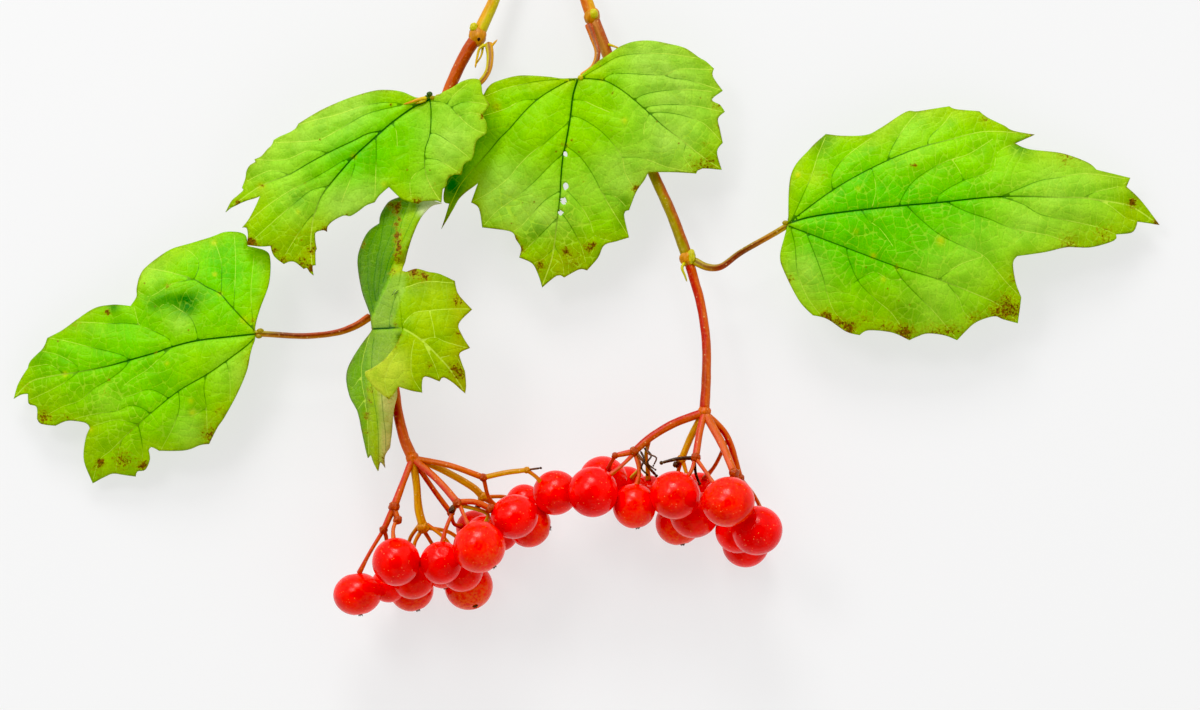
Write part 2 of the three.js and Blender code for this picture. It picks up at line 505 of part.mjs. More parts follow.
const LEFT_BUNCH = {
  peduncle: [[-43, 5.8, 11.4], [-42.4, 1, 11.6], [-41.2, -6, 12], [-40.4, -11.4, 12.6], [-39, -17, 13.6], HUB_LEFT],
  rays: [
    [RAY_R * 1.1, RAY_R * 1.3, HUB_LEFT, [-39, -24.8, 16.4], [-41, -30.2, 17.4]],
    [RAY_R * 1.1, RAY_R, [-41, -30.2, 17.4], [-43.1, -34.8, 16.6]],
    [RAY_R, RAY_R * 1.1, [-41, -30.2, 17.4], [-40.3, -32.8, 18]],
    [RAY_R * 1.3, RAY_R * 1.5, HUB_LEFT, [-36.6, -26, 14.4], [-36.2, -30.8, 14.3], [-35.3, -34.4, 14.4]],
    [RAY_R * 0.9, RAY_R * 0.9, HUB_LEFT, [-33.6, -26.4, 13.4], [-29.8, -31.6, 12.8]],
    [RAY_R * 1.2, RAY_R * 1.2, HUB_LEFT, [-32.2, -25, 18], [-28.2, -29.4, 21.2]],
    [RAY_R, RAY_R * 1.1, [-28.2, -29.2, 21.2], [-24.8, -29.2, 21], [-21.8, -30.5, 20.7]],
    [RAY_R * 1.2, RAY_R * 1.2, HUB_LEFT, [-33.4, -22, 13.8], [-25.2, -26.6, 12.8], [-23.4, -28.4, 12.4]],
    [RAY_R, RAY_R, HUB_LEFT, [-30, -22, 16.6], [-23.2, -24.4, 17.2]],
    [RAY_R * 0.9, RAY_R * 0.8, [-23.2, -24.4, 17.2], [-18.6, -23.4, 17.4], [-14.6, -22.9, 17.2]],
  ],
  stubs: [
    [RAY_R * 1.1, RAY_R * 0.8, [-29, -30, 21], [-29.4, -30.8, 22]],
    [RAY_R, RAY_R * 0.8, [-24, -28.8, 12.4], [-24.5, -30.6, 12.4]],
    [THREAD_R, THREAD_R, [-14.8, -22.9, 17.2], [-11.8, -22.5, 17.6]],
  ],
  pedicels: [
    [[-43.1, -34.8, 16.6], [-46, -39.6, 16.4], [-48.2, -43.8, 15]],
    [[-40.4, -32.6, 17.9], [-41.1, -34.6, 19], [-41, -37, 20.2]],
    [[-35.8, -35.2, 14.4], [-37, -37.6, 14.6], [-37.3, -40.6, 13.8]],
    [[-43, -34.8, 16.5], [-42.6, -36.6, 15.6], [-42.8, -40.6, 13], [-42.8, -43.6, 10.8]],
    [[-35.8, -33.6, 14.2], [-38, -36.8, 12.4], [-38, -40.6, 8.4], [-36.5, -44.6, 5.8]],
    [[-28.6, -29.8, 21.2], [-30.6, -34.6, 22.2], [-31.4, -38, 22.4]],
    [[-34.8, -33.6, 14.4], [-31.2, -36.4, 14.8], [-28.8, -39.8, 14.8]],
    [[-35.2, -35, 14.2], [-33.8, -37.4, 12.4], [-32, -40.4, 9.6]],
    [[-35, -34.4, 14.2], [-30.2, -35.4, 13], [-27.6, -37.8, 10.6], [-26.4, -41.4, 8], [-26.4, -43.6, 6.8]],
    [[-27.8, -29.8, 21.4], [-26.4, -33, 24], [-25.2, -35, 25.4]],
    [[-21.8, -30.5, 20.7], [-20, -31.6, 20.4]],
    [[-23.2, -24.6, 17], [-21.8, -29, 14.6], [-17, -32.4, 13.2]],
    [[-14.6, -22.9, 17.2], [-12.8, -24.2, 16.8], [-11.5, -25.6, 16]],
    [[-23.2, -28.4, 12.4], [-19.4, -28.4, 9.8], [-17.2, -29.2, 7.4]],
    [[-29.8, -31.6, 12.8], [-29.2, -33.8, 11], [-27.6, -34.4, 9]],
    [[-27.6, -29.8, 21], [-22.4, -31.6, 18.8], [-22.9, -34, 16]],
    [[-23.4, -28.6, 12.2], [-20.8, -30.6, 9.2], [-20.2, -33.8, 5.2]],
  ],
  berries: [
    [-48.4, -47.7, 14.5, 4.7], [-40.4, -41, 22.2, 4.85], [-37.3, -44.4, 14.4, 4.4], [-42.3, -46.1, 9.8, 3.6],
    [-37.9, -47.3, 4.3, 4.45], [-31.5, -41.2, 22, 4.3], [-27.5, -43.2, 15.4, 4.1], [-31.5, -43.5, 9.3, 3.4],
    [-26.4, -46.6, 4.7, 4.85], [-23.9, -37.9, 26.6, 5.25], [-17, -32.1, 20.1, 4.6], [-14.2, -34, 11.8, 4.5],
    [-8.9, -27.5, 14.2, 4.55], [-15.3, -29.8, 4.9, 3.8], [-25.4, -34.8, 6.9, 3.6], [-23.2, -35.6, 13.3, 3.6],
    [-20.1, -36, 3.45, 3.6],
  ],
};

const RIGHT_BUNCH = {
  peduncle: [[18.2, 17.4, 10.2], [19.1, 14.2, 10.4], [20, 11, 10.8], [21.2, 3, 12.4], [21.2, -5, 14], HUB_RIGHT],
  rays: [
    [RAY_R * 1.4, RAY_R * 1.2, HUB_RIGHT, [14.4, -13.8, 16.2], [9.8, -16.6, 17.4], [6.8, -19.2, 18.4]],
    [RAY_R, RAY_R * 0.8, [6.8, -19.2, 18.4], [3, -20, 18.6]],
    [RAY_R * 1.2, RAY_R * 1.2, HUB_RIGHT, [19.8, -15.6, 17.6], [19, -20.4, 20]],
    [RAY_R * 1.2, RAY_R * 1.1, HUB_RIGHT, [18.4, -15.8, 14], [16.3, -20.8, 13.4]],
    [RAY_R * 1.4, RAY_R * 1.2, HUB_RIGHT, [24.4, -18, 17.6], [26.6, -23.4, 20.3]],
    [RAY_R * 1.1, RAY_R, HUB_RIGHT, [25.2, -16, 14.4], [28, -24.6, 14.4]],
  ],
  stubs: [
    [RAY_R * 0.7, RAY_R * 0.5, [18.8, -20.4, 20], [15.4, -20.6, 20.8], [12.2, -21.4, 21]],
    [RAY_R, RAY_R * 0.8, [16.2, -20.8, 13.4], [15.2, -21.9, 13.4]],
    [THREAD_R * 1.2, THREAD_R, [7.2, -19.4, 18.6], [9.4, -22, 19.6], [11.2, -24, 19]],
    [THREAD_R * 1.2, THREAD_R, [18.8, -21, 20], [19, -23.4, 20], [19.8, -25.6, 19.6]],
  ],
  pedicels: [
    [[6.6, -19.8, 18.4], [3.8, -22.4, 20.4], [1, -24.6, 20.9]],
    [[3, -20, 18.6], [2.2, -21.4, 17.4], [1.6, -22.8, 14.8]],
    [[7, -19.6, 18], [8, -22.4, 12], [6.4, -24.8, 7]],
    [[7, -19.6, 18.4], [7.8, -23.4, 18.6], [7.2, -26.4, 18.2]],
    [[9.8, -16.8, 17.2], [9.2, -19.8, 16], [9.5, -22.6, 13.8], [9.7, -25.2, 12]],
    [[18.9, -20.6, 20], [18, -23.2, 21.2], [16.6, -25, 21.3]],
    [[16.5, -21, 13.4], [17.4, -24, 13.8], [18.5, -28, 13.6]],
    [[19.1, -20.6, 20.2], [21.4, -23.8, 23.2], [23.2, -26.6, 25]],
    [[16.2, -21, 13.2], [15.2, -25.6, 10.6], [15.4, -30.2, 7.6]],
    [[26.6, -23.4, 20.3], [28.6, -27.4, 19.4], [30.2, -31.4, 20]],
    [[28, -24.6, 14.4], [28, -28, 14.4], [27.6, -31.6, 13.6]],
    [[28, -24.6, 14.2], [31, -28.4, 11.8], [32.6, -32.8, 9], [31, -35.8, 7]],
    [[25.4, -17, 14.4], [23, -22.2, 9.8], [20.8, -25, 5.6]],
  ],
  berries: [
    [-1.4, -27.2, 20.8, 5.05], [0.6, -25, 11.3, 4.85], [5.4, -26.4, 3.85, 4], [6.8, -30, 17.6, 4.45],
    [9.8, -27.8, 10.3, 3.8], [14.9, -27.8, 21.2, 4.95], [18.8, -31.8, 13.6, 4.9], [25.3, -29, 27.1, 5.2],
    [15.8, -33.7, 5, 4.7], [31.2, -34.8, 21.5, 5], [27.5, -35.2, 13, 4.5], [29.3, -38.1, 4.6, 4.75],
    [20, -27.2, 3.45, 3.6],
  ],
};

function bunch({ peduncle, rays, stubs, pedicels, berries }) {
  const hub = peduncle.at(-1);
  const stalks = [...rays, ...stubs].map(([start, end, ...points]) => stalk(points, [start, end], 5, 3));
  const knots = rays.map(([, end, ...points]) => swelling(points.at(-1), [end * 1.4, end * 1.4, end * 1.4], 0));
  const hung = berries.map(([x, y, z, radius], i) => {
    const points = pedicels[i];
    const carried = stalk(points, [PEDICEL_R * 1.1, PEDICEL_R, PEDICEL_R * 1.2], 5, 3);
    return carried.add(berry([x, y, z], radius, points.at(-1)));
  });
  return seatOnTable(fuse([
    stalk(peduncle, [PEDUNCLE_R * 1.1, PEDUNCLE_R, PEDUNCLE_R, PEDUNCLE_R * 1.15], 8, 3.6),
    swelling(hub, [1.4, 1.5, 1.3]),
    ...stalks,
    ...knots,
    ...hung,
  ]));
}

// The branch

const branch = new THREE.Group();
const add = (name, geometry, material) => {
  const mesh = new THREE.Mesh(geometry, material);
  mesh.name = name;
  mesh.position.set(-FOOTPRINT_CENTRE[0], -FOOTPRINT_CENTRE[1], 0);
  branch.add(mesh);
};

add("woody_stem", toGeometry(woodyStem()), WOOD);
add("shoot_left", toGeometry(leftShoot()), GREEN_STEM);
add("shoot_right", toGeometry(rightShoot()), GREEN_STEM);
for (const name of Object.keys(PETIOLES)) add(`petiole_${name}`, toGeometry(petiole(name)), RED_STALK);
for (const [name, { base, height, outline }] of Object.entries(LEAVES)) {
  add(`leaf_${name}`, placed(blade(outline, height), base), LEAF);
}
const foldedLeaf = toSolid(blade(FOLDED.outline, foldedHeight, 3.2)).add(toSolid(blade(FOLDED.flap, flapHeight, 3)));
add("leaf_folded", placed(toGeometry(foldedLeaf), FOLDED.base), LEAF);
add("bunch_left", toGeometry(bunch(LEFT_BUNCH)), FRUIT);
add("bunch_right", toGeometry(bunch(RIGHT_BUNCH)), FRUIT);

export default branch;
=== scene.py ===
"""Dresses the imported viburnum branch: veined leaves, glossy berries, stalks, shoots and bark.

Shapes are written in millimetres as they lie in plan, seen from above, with the height above
the table. One function moves them into the part's own frame, in metres.
"""

import logging
import math
import random
from dataclasses import dataclass, field
from enum import Enum
from functools import partial
from typing import Callable, Iterable, Sequence

import bmesh
import bpy
import numpy as np
from mathutils import Matrix, Vector, noise
from mathutils.geometry import delaunay_2d_cdt
from mathutils.kdtree import KDTree


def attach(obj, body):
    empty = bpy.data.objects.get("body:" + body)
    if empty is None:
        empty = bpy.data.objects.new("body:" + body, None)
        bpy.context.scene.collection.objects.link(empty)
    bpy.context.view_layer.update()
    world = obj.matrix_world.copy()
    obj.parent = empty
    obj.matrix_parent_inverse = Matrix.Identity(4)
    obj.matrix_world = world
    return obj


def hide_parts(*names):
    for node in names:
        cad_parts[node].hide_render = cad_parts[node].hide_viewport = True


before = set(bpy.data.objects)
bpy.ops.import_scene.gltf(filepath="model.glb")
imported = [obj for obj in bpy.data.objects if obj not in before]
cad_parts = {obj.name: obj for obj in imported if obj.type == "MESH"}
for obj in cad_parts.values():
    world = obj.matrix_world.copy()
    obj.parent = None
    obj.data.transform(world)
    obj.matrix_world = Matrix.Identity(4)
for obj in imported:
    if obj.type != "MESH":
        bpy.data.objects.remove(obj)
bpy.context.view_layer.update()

LOG = logging.getLogger("viburnum")

MM = 0.001
PLAN_SHIFT = (2.7, -28.4)  # from the plan's middle to the middle of the branch's footprint
BODY = "root"

Point = tuple[float, float, float]
Line = Sequence[tuple[float, float]]


def in_part(points: np.ndarray) -> np.ndarray:
    """Moves rows of plan points in millimetres into the part's frame, in metres."""
    return (points + np.array([*PLAN_SHIFT, 0.0])) * MM


def linear(code: str) -> tuple[float, float, float, float]:
    """Turns a colour written as "#rrggbb" in sRGB into the linear colour, with alpha, that shaders use."""
    parts = (int(code[i : i + 2], 16) / 255 for i in (1, 3, 5))
    return (*(c / 12.92 if c <= 0.04045 else ((c + 0.055) / 1.055) ** 2.4 for c in parts), 1.0)


def smooth(value: np.ndarray, low: float, high: float) -> np.ndarray:
    """Runs smoothly from 0 at low to 1 at high."""
    t = np.clip((value - low) / (high - low), 0, 1)
    return t * t * (3 - 2 * t)


def painted(colour: np.ndarray, code: str, cover: np.ndarray) -> np.ndarray:
    """Lays a colour over rows of linear colours, as strongly as the cover of each row, 0 to 1."""
    return colour * (1 - cover[:, None]) + np.array(linear(code)) * cover[:, None]


def rough_field(points: np.ndarray, size: float, seed: int) -> np.ndarray:
    """Soft noise from about -1 to 1.

    Args:
        points: rows of two or three coordinates, in millimetres.
        size: the width of one patch of the noise, in millimetres.
        seed: picks the pattern.

    Returns:
        One value for each point.
    """
    rows = np.zeros((len(points), 3))
    rows[:, : points.shape[1]] = points / size
    rows[:, 2] += seed * 7.31
    return np.array([noise.noise(row) for row in rows.tolist()])


# Finishes

TIMES = {"operation": "MULTIPLY"}
TIMES_PLUS = {"operation": "MULTIPLY_ADD"}
SMOOTH = {"interpolation_type": "SMOOTHSTEP"}  # a range that eases in and out

Adder = Callable[..., bpy.types.Node]


def add_node(tree: bpy.types.NodeTree, kind: str, inputs: Sequence | dict = (), **settings: str) -> bpy.types.Node:
    """Adds one shader node with its settings and links.

    Args:
        tree: the node tree.
        kind: the node's type, without the "ShaderNode" that each begins with.
        inputs: a value, an output or a node for each input, in order or by name or number. A node
            stands for the first of its outputs that is in use.
        **settings: the node's own properties.

    Returns:
        The new node.
    """
    made = tree.nodes.new("ShaderNode" + kind)
    for name, value in settings.items():
        setattr(made, name, value)
    for socket, value in inputs.items() if isinstance(inputs, dict) else enumerate(inputs):
        if isinstance(value, bpy.types.Node):
            value = next(output for output in value.outputs if output.enabled)
        if isinstance(value, bpy.types.NodeSocket):
            tree.links.new(value, made.inputs[socket])
        else:
            made.inputs[socket].default_value = value
    return made


def start_material(name: str) -> tuple[bpy.types.Material, Adder]:
    """Makes an empty material.

    Args:
        name: the material's name.

    Returns:
        The material, and add_node for its own tree.
    """
    material = bpy.data.materials.new(name)
    material.use_nodes = True
    material.node_tree.nodes.clear()
    return material, partial(add_node, material.node_tree)


def layered(add: Adder, colour: str | bpy.types.Node, *layers: tuple) -> bpy.types.Node:
    """Lays colours over each other.

    Args:
        add: add_node for the material's tree.
        colour: the lowest colour, as "#rrggbb" or a node.
        *layers: how strongly each further layer shows, a number or a node, and its colour.

    Returns:
        The node that gives the result.
    """
    for share, over in layers:
        below, above = (linear(shade) if isinstance(shade, str) else shade for shade in (colour, over))
        colour = add("Mix", {0: share, 6: below, 7: above}, data_type="RGBA")
    return colour


def relief_of(add: Adder, strength: float, depth: float, *parts: tuple) -> bpy.types.Node:
    """Adds up patterns to one relief.

    Args:
        add: add_node for the material's tree.
        strength: how strongly the relief shows.
        depth: its depth, mm.
        *parts: each pattern and its share.

    Returns:
        The bump node.
    """
    height = 0.0
    for pattern, share in parts:
        height = add("Math", (pattern, share, height), **TIMES_PLUS)
    return add("Bump", {"Height": height, "Strength": strength, "Distance": depth * MM})


class LeafSide(Enum):
    """Which face of a blade a finish is for."""

    UPPER = "upper"
    UNDER = "under"


@dataclass(frozen=True)
class LeafFinish:
    """Living leaf: a waxy cuticle over green tissue, which gives a satin sheen and sunk veins."""

    side: LeafSide
    net: str = "#b2de36"  # the finest veins, lit through
    sunk: str = "#0f5204"  # the furrows over the main veins
    raised: str = "#cbe650"  # the veins where they stand pale near the edge
    brown: str = "#7c4a10"
    scorched: str = "#4a2410"
    roughness: float = 0.46
    net_cell: float = 0.8  # mm between the very finest veins
    fleck_scale: float = 0.45  # places a millimetre where a brown fleck may be, so 2.2 mm apart

    def material(self) -> bpy.types.Material:
        """Builds the finish.

        Returns:
            The material.
        """
        material, add = start_material(f"leaf_{self.side.value}")
        net_gap, net_share, ratio, dark, pale, sick, rim = (
            add("Attribute", attribute_name=name).outputs["Fac"]
            for name in ("net_gap", "net", "vein_ratio", "vein_dark", "vein_pale", "blight", "rim")
        )
        plan = add("UVMap", uv_map="plan")
        fine = add("TexVoronoi", {"Vector": plan, "Scale": 1 / self.net_cell}, feature="DISTANCE_TO_EDGE")
        cloud = add("TexNoise", {"Vector": plan, "Scale": 0.22, "Detail": 4.0})
        grain = add("TexNoise", {"Vector": plan, "Scale": 2.6, "Detail": 5.0})
        speckle = add("TexNoise", {"Vector": plan, "Scale": 1.7, "Detail": 7.0, "Roughness": 0.75})
        cells = add("TexVoronoi", {"Vector": plan, "Scale": self.fleck_scale})

        net = add("MapRange", (net_gap, 0.01, 0.13, 1.0, 0.0), **SMOOTH)
        fine_net = add("MapRange", (fine, 0.02, 0.1, 1.0, 0.0), **SMOOTH)
        shown = add("Math", (add("MapRange", (cloud, 0.32, 0.62, 0.5, 1.0), **SMOOTH), net_share), **TIMES)
        faint = add("Math", (fine_net, add("Math", (net_share, 0.26), **TIMES)), **TIMES)
        line = add("MapRange", (ratio, 0.5, 1.3, 1.0, 0.0), **SMOOTH)
        # painted shade: a broad darker green band along the dark veins, for the slopes of their furrows
        furrow_shade = add("MapRange", (ratio, 0.8, 3.4, 0.22, 0.0), **SMOOTH)
        blight = add("Math", (sick, 0.36, speckle), **TIMES_PLUS)
        scorch = add("MapRange", (blight, 0.69, 0.79, 0.0, 0.92), **SMOOTH)
        rusty = layered(add, self.brown, (add("MapRange", (grain, 0.46, 0.6), **SMOOTH), self.scorched))
        spot = add("MapRange", (cells.outputs["Distance"], 0.04, 0.13, 0.7, 0.0), **SMOOTH)
        chance = add("MapRange", (add("SeparateColor", (cells.outputs["Color"],)), 0.88, 0.95), **SMOOTH)
        dried = add("Math", (rim, add("MapRange", (speckle, 0.35, 0.6, 0.1, 0.8), **SMOOTH)), **TIMES)

        tissue = add("Attribute", attribute_name="tissue")
        deeper = add("Mix", {0: 1.0, 6: tissue, 7: linear("#b4d08c")}, data_type="RGBA", blend_type="MULTIPLY")
        layers = [
            (add("MapRange", (cloud, 0.4, 0.68, 0.0, 0.5), **SMOOTH), deeper),
            (add("MapRange", (grain, 0.4, 0.7, 0.0, 0.36), **SMOOTH), deeper),
            (faint, self.net),
            (add("Math", (net, shown), **TIMES), self.net),
            # painted furrow shade beside the veins
            (add("Math", (furrow_shade, dark), **TIMES), "#3f9a0a"),
            (add("Math", (line, pale), **TIMES), self.raised),
            (add("Math", (line, dark), **TIMES), self.sunk),
            (add("MapRange", (blight, 0.58, 0.74, 0.0, 0.6), **SMOOTH), "#98980a"),
            (scorch, rusty),
            (add("Math", (chance, spot), **TIMES), self.brown),
            (dried, "#6e3f16"),
        ]
        if self.side is LeafSide.UNDER:
            layers.append((0.5, "#b4c88a"))
        wear = add("MapRange", (grain, 0.3, 0.7, self.roughness - 0.06, self.roughness + 0.1), **SMOOTH)
        skin = {
            "Base Color": layered(add, tissue, *layers),
            "Roughness": add("Math", (scorch, 0.3, wear), **TIMES_PLUS),
            "IOR": 1.42,
            "Specular IOR Level": 0.17,
            "Normal": relief_of(add, 0.5, 0.12, (net, -0.7), (grain, 0.9), (fine_net, -0.3)),
        }
        add("OutputMaterial", (add("BsdfPrincipled", skin),))
        return material


@dataclass(frozen=True)
class BerryFinish:
    """Ripe berry: a tight wet-looking red skin over clear pulp, glossy with light inside it."""

    skin: str = "#fb0a01"
    # the skin's own darker red, laid in soft clouds
    dark_tone_and_shade: str = "#df0300"
    blotch: str = "#f2560a"
    speck: str = "#ff9a5a"
    roughness: float = 0.23

    def material(self) -> bpy.types.Material:
        """Builds the finish.

        Returns:
            The material.
        """
        material, add = start_material("berry_skin")
        in_mm = add("VectorMath", (add("TexCoord").outputs["Object"], (1 / MM, 1 / MM, 1 / MM)), **TIMES)
        cloud = add("TexNoise", {"Vector": in_mm, "Scale": 0.22, "Detail": 4.0})
        specks = add("TexVoronoi", {"Vector": in_mm, "Scale": 1.5})
        grain = add("TexNoise", {"Vector": in_mm, "Scale": 1.6, "Detail": 5.0})
        broken = add("MapRange", (grain, 0.36, 0.62, 0.15, 1.0), **SMOOTH)
        mottle = add("Math", (add("Attribute", attribute_name="mottle").outputs["Fac"], broken), **TIMES)
        dot = add("MapRange", (specks, 0.08, 0.22, 0.6, 0.0), **SMOOTH)
        skin = {
            "Base Color": layered(
                add,
                self.skin,
                (add("MapRange", (cloud, 0.38, 0.66), **SMOOTH), self.dark_tone_and_shade),
                (mottle, self.blotch),
                (add("Math", (dot, add("MapRange", (grain, 0.45, 0.6), **SMOOTH)), **TIMES), self.speck),
            ),
            "Roughness": self.roughness,
            "IOR": 1.45,
            "Specular IOR Level": 0.26,
            "Subsurface Weight": 0.06,
            "Subsurface Radius": (2.2 * MM, 0.35 * MM, 0.2 * MM),
            "Subsurface Scale": 1.0,
            "Normal": relief_of(add, 0.55, 0.12, (grain, 0.4)),
        }
        add("OutputMaterial", (add("BsdfPrincipled", skin),))
        return material


@dataclass(frozen=True)
class StalkFinish:
    """Green and reddened stalks: a thin smooth skin over fibres, so a soft sheen and fine streaks."""

    roughness: float = 0.38
    streaks: float = 0.35
    dots: float = 0.5  # pale breathing pores

    def material(self) -> bpy.types.Material:
        """Builds the finish.

        Returns:
            The material.
        """
        material, add = start_material("stalk_skin")
        place = add("UVMap", uv_map="skin")
        along = add("Mapping", {"Vector": place, "Scale": (2.6, 0.3, 1.0)})
        streak = add("TexNoise", {"Vector": along, "Scale": 1.0, "Detail": 5.0})
        grain = add("TexNoise", {"Vector": place, "Scale": 1.3, "Detail": 5.0})
        pores = add("TexVoronoi", {"Vector": place, "Scale": 0.8})
        tint = add("Attribute", attribute_name="tint")
        darker = add("Mix", {0: 1.0, 6: tint, 7: linear("#b98a6a")}, data_type="RGBA", blend_type="MULTIPLY")
        streaked = add("Math", (add("MapRange", (streak, 0.4, 0.66), **SMOOTH), self.streaks), **TIMES)
        skin = {
            "Base Color": layered(
                add,
                tint,
                (streaked, darker),
                (add("MapRange", (grain, 0.5, 0.75, 0.0, 0.4), **SMOOTH), layered(add, tint, (0.4, "#e8c46a"))),
                (add("MapRange", (pores, 0.06, 0.16, self.dots, 0.0), **SMOOTH), "#e4c27a"),
            ),
            "Roughness": add("MapRange", (grain, 0.3, 0.7, self.roughness - 0.05, self.roughness + 0.12), **SMOOTH),
            "Specular IOR Level": 0.25,
            "Normal": relief_of(add, 0.5, 0.15, (streak, 0.8), (grain, 0.4)),
        }
        add("OutputMaterial", (add("BsdfPrincipled", skin),))
        return material


@dataclass(frozen=True)
class BarkFinish:
    """One-year wood: dull grey-brown bark, split along the stem, with warty pale pores."""

    pale: str = "#b3a488"
    dark: str = "#6b5a41"
    roughness: float = 0.78

    def material(self) -> bpy.types.Material:
        """Builds the finish.

        Returns:
            The material.
        """
        material, add = start_material("bark")
        place = add("UVMap", uv_map="skin")
        along = add("Mapping", {"Vector": place, "Scale": (1.3, 0.25, 1.0)})
        split = add("TexNoise", {"Vector": along, "Scale": 1.1, "Detail": 8.0})
        grain = add("TexNoise", {"Vector": place, "Scale": 2.2, "Detail": 6.0})
        warts = add("TexVoronoi", {"Vector": place, "Scale": 0.55})
        wart = add("MapRange", (warts, 0.1, 0.24, 1.0, 0.0), **SMOOTH)
        skin = {
            "Base Color": layered(
                add,
                self.dark,
                (add("MapRange", (split, 0.35, 0.65), **SMOOTH), self.pale),
                (add("MapRange", (grain, 0.35, 0.65, 0.0, 0.5), **SMOOTH), "#7f7050"),
                (add("Math", (wart, 0.8), **TIMES), "#c9b691"),
            ),
            "Roughness": self.roughness,
            "Normal": relief_of(add, 0.9, 0.3, (split, 1.0), (wart, 0.7), (grain, 0.3)),
        }
        add("OutputMaterial", (add("BsdfPrincipled", skin),))
        return material


@dataclass(frozen=True)
class CutWoodFinish:
    """A fresh cut across the stem: pale wood rings round soft pith, matt and slightly rough."""

    centre: Point
    wood: str = "#d9c79a"
    pith: str = "#efe6cc"
    roughness: float = 0.75

    def material(self) -> bpy.types.Material:
        """Builds the finish.

        Returns:
            The material.
        """
        material, add = start_material("cut_wood")
        place = add("TexCoord").outputs["Object"]
        middle = tuple(in_part(np.array([self.centre]))[0])
        away = add("Math", (add("VectorMath", (place, middle), operation="DISTANCE"), 1 / MM), **TIMES)
        wobble = add("TexNoise", {"Vector": place, "Scale": 900.0, "Detail": 4.0})
        radius = add("Math", (wobble, 0.35, away), **TIMES_PLUS)
        ring = add("Math", (add("Math", (radius, 9.0), **TIMES),), operation="SINE")
        face = {
            "Base Color": layered(
                add,
                self.wood,
                (add("MapRange", (ring, -1.0, 1.0, 0.0, 0.35), **SMOOTH), "#b89a62"),
                (add("MapRange", (radius, 0.75, 1.05, 1.0, 0.0), **SMOOTH), self.pith),
                (add("MapRange", (radius, 2.15, 2.35), **SMOOTH), "#6d7a35"),
            ),
            "Roughness": self.roughness,
            "Normal": relief_of(add, 0.5, 0.1, (wobble, 1.0)),
        }
        add("OutputMaterial", (add("BsdfPrincipled", face),))
        return material


@dataclass(frozen=True)
class DryFinish:
    """Withered flower parts: brittle dark-brown tissue, matt and crumpled."""

    colour: str = "#35200f"
    light: str = "#6b4a28"
    roughness: float = 0.85

    def material(self) -> bpy.types.Material:
        """Builds the finish.

        Returns:
            The material.
        """
        material, add = start_material("withered")
        grain = add("TexNoise", {"Vector": add("TexCoord").outputs["Object"], "Scale": 2500.0, "Detail": 5.0})
        skin = {
            "Base Color": layered(add, self.colour, (add("MapRange", (grain, 0.35, 0.7), **SMOOTH), self.light)),
            "Roughness": self.roughness,
            "Normal": relief_of(add, 0.8, 0.1, (grain, 1.0)),
        }
        add("OutputMaterial", (add("BsdfPrincipled", skin),))
        return material


# Meshes


def finish_piece(
    bm: bmesh.types.BMesh, name: str, materials: Sequence[bpy.types.Material], node: str
) -> bpy.types.Object:
    """Turns a bmesh into a piece that rides on the part and stands for a CAD node.

    Args:
        bm: the finished bmesh, in metres in the part's frame. It is freed.
        name: the piece's name.
        materials: its materials, in the order of its faces' material numbers.
        node: the CAD node that it stands for.

    Returns:
        The new object.
    """
    for face in bm.faces:
        face.smooth = True
    mesh = bpy.data.meshes.new(name)
    bm.to_mesh(mesh)
    bm.free()
    for material in materials:
        mesh.materials.append(material)
    piece = bpy.data.objects.new(name, mesh)
    bpy.context.scene.collection.objects.link(piece)
    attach(piece, BODY)
    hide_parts(node)
    triangles = sum(len(polygon.vertices) - 2 for polygon in mesh.polygons)
    LOG.info("%s: %d triangles, for %s", name, triangles, node)
    return piece


# Readers of the shapes, which are written in millimetres


def read_points(text: str) -> list[tuple[float, ...]]:
    """Reads points from their numbers, which commas join, with blanks between the points."""
    return [tuple(map(float, word.split(","))) for word in text.split()]


def read_lines(text: str) -> list[Line]:
    """Reads lines of points, with a semicolon between them."""
    return [read_points(part) for part in text.split(";")]


# Leaves


def spline(knots: np.ndarray, step: float) -> np.ndarray:
    """Runs a smooth line through knots.

    Args:
        knots: rows of x, y.
        step: the spacing of the points along the line.

    Returns:
        Points along the line, without the last knot.
    """
    ends = np.vstack([knots[:1], knots, knots[-1:]])
    spans = []
    for a, b, c, d in zip(ends, ends[1:], ends[2:], ends[3:]):
        count = max(1, round(float(np.linalg.norm(c - b)) / step))
        t = (np.arange(count) / count)[:, None]
        spans.append(
            0.5 * (2 * b + (c - a) * t + (2 * a - 5 * b + 4 * c - d) * t**2 + (3 * b - a - 3 * c + d) * t**3)
        )
    return np.vstack(spans)


def margin_line(stretches: Sequence[Line], step: float) -> np.ndarray:
    """Draws a closed margin from stretches that each end in a corner.

    Args:
        stretches: each runs on from the last point of the one before.
        step: the spacing of the points.

    Returns:
        The margin's points, in order.
    """
    corner = stretches[-1][-1]
    lines = []
    for stretch in stretches:
        lines.append(spline(np.array([corner, *stretch], float), step))
        corner = stretch[-1]
    return np.vstack(lines)


def measure_to(points: np.ndarray, line: np.ndarray) -> tuple[np.ndarray, np.ndarray]:
    """Measures points against a line.

    Args:
        points: rows of x, y.
        line: the line's own points.

    Returns:
        Each point's distance to the line, and how far along it the nearest place is, 0 to 1.
    """
    spans = np.diff(line, axis=0)
    lengths = np.maximum(np.hypot(spans[:, 0], spans[:, 1]), 1e-9)
    starts = np.concatenate([[0.0], np.cumsum(lengths)[:-1]])
    gap = np.full(len(points), np.inf)
    along = np.zeros(len(points))
    for start, span, length, before in zip(line, spans, lengths, starts):
        t = np.clip((points - start) @ span / length**2, 0, 1)
        away = points - start - t[:, None] * span
        near = np.hypot(away[:, 0], away[:, 1])
        closer = near < gap
        gap[closer] = near[closer]
        along[closer] = before + t[closer] * length
    return gap, along / lengths.sum()


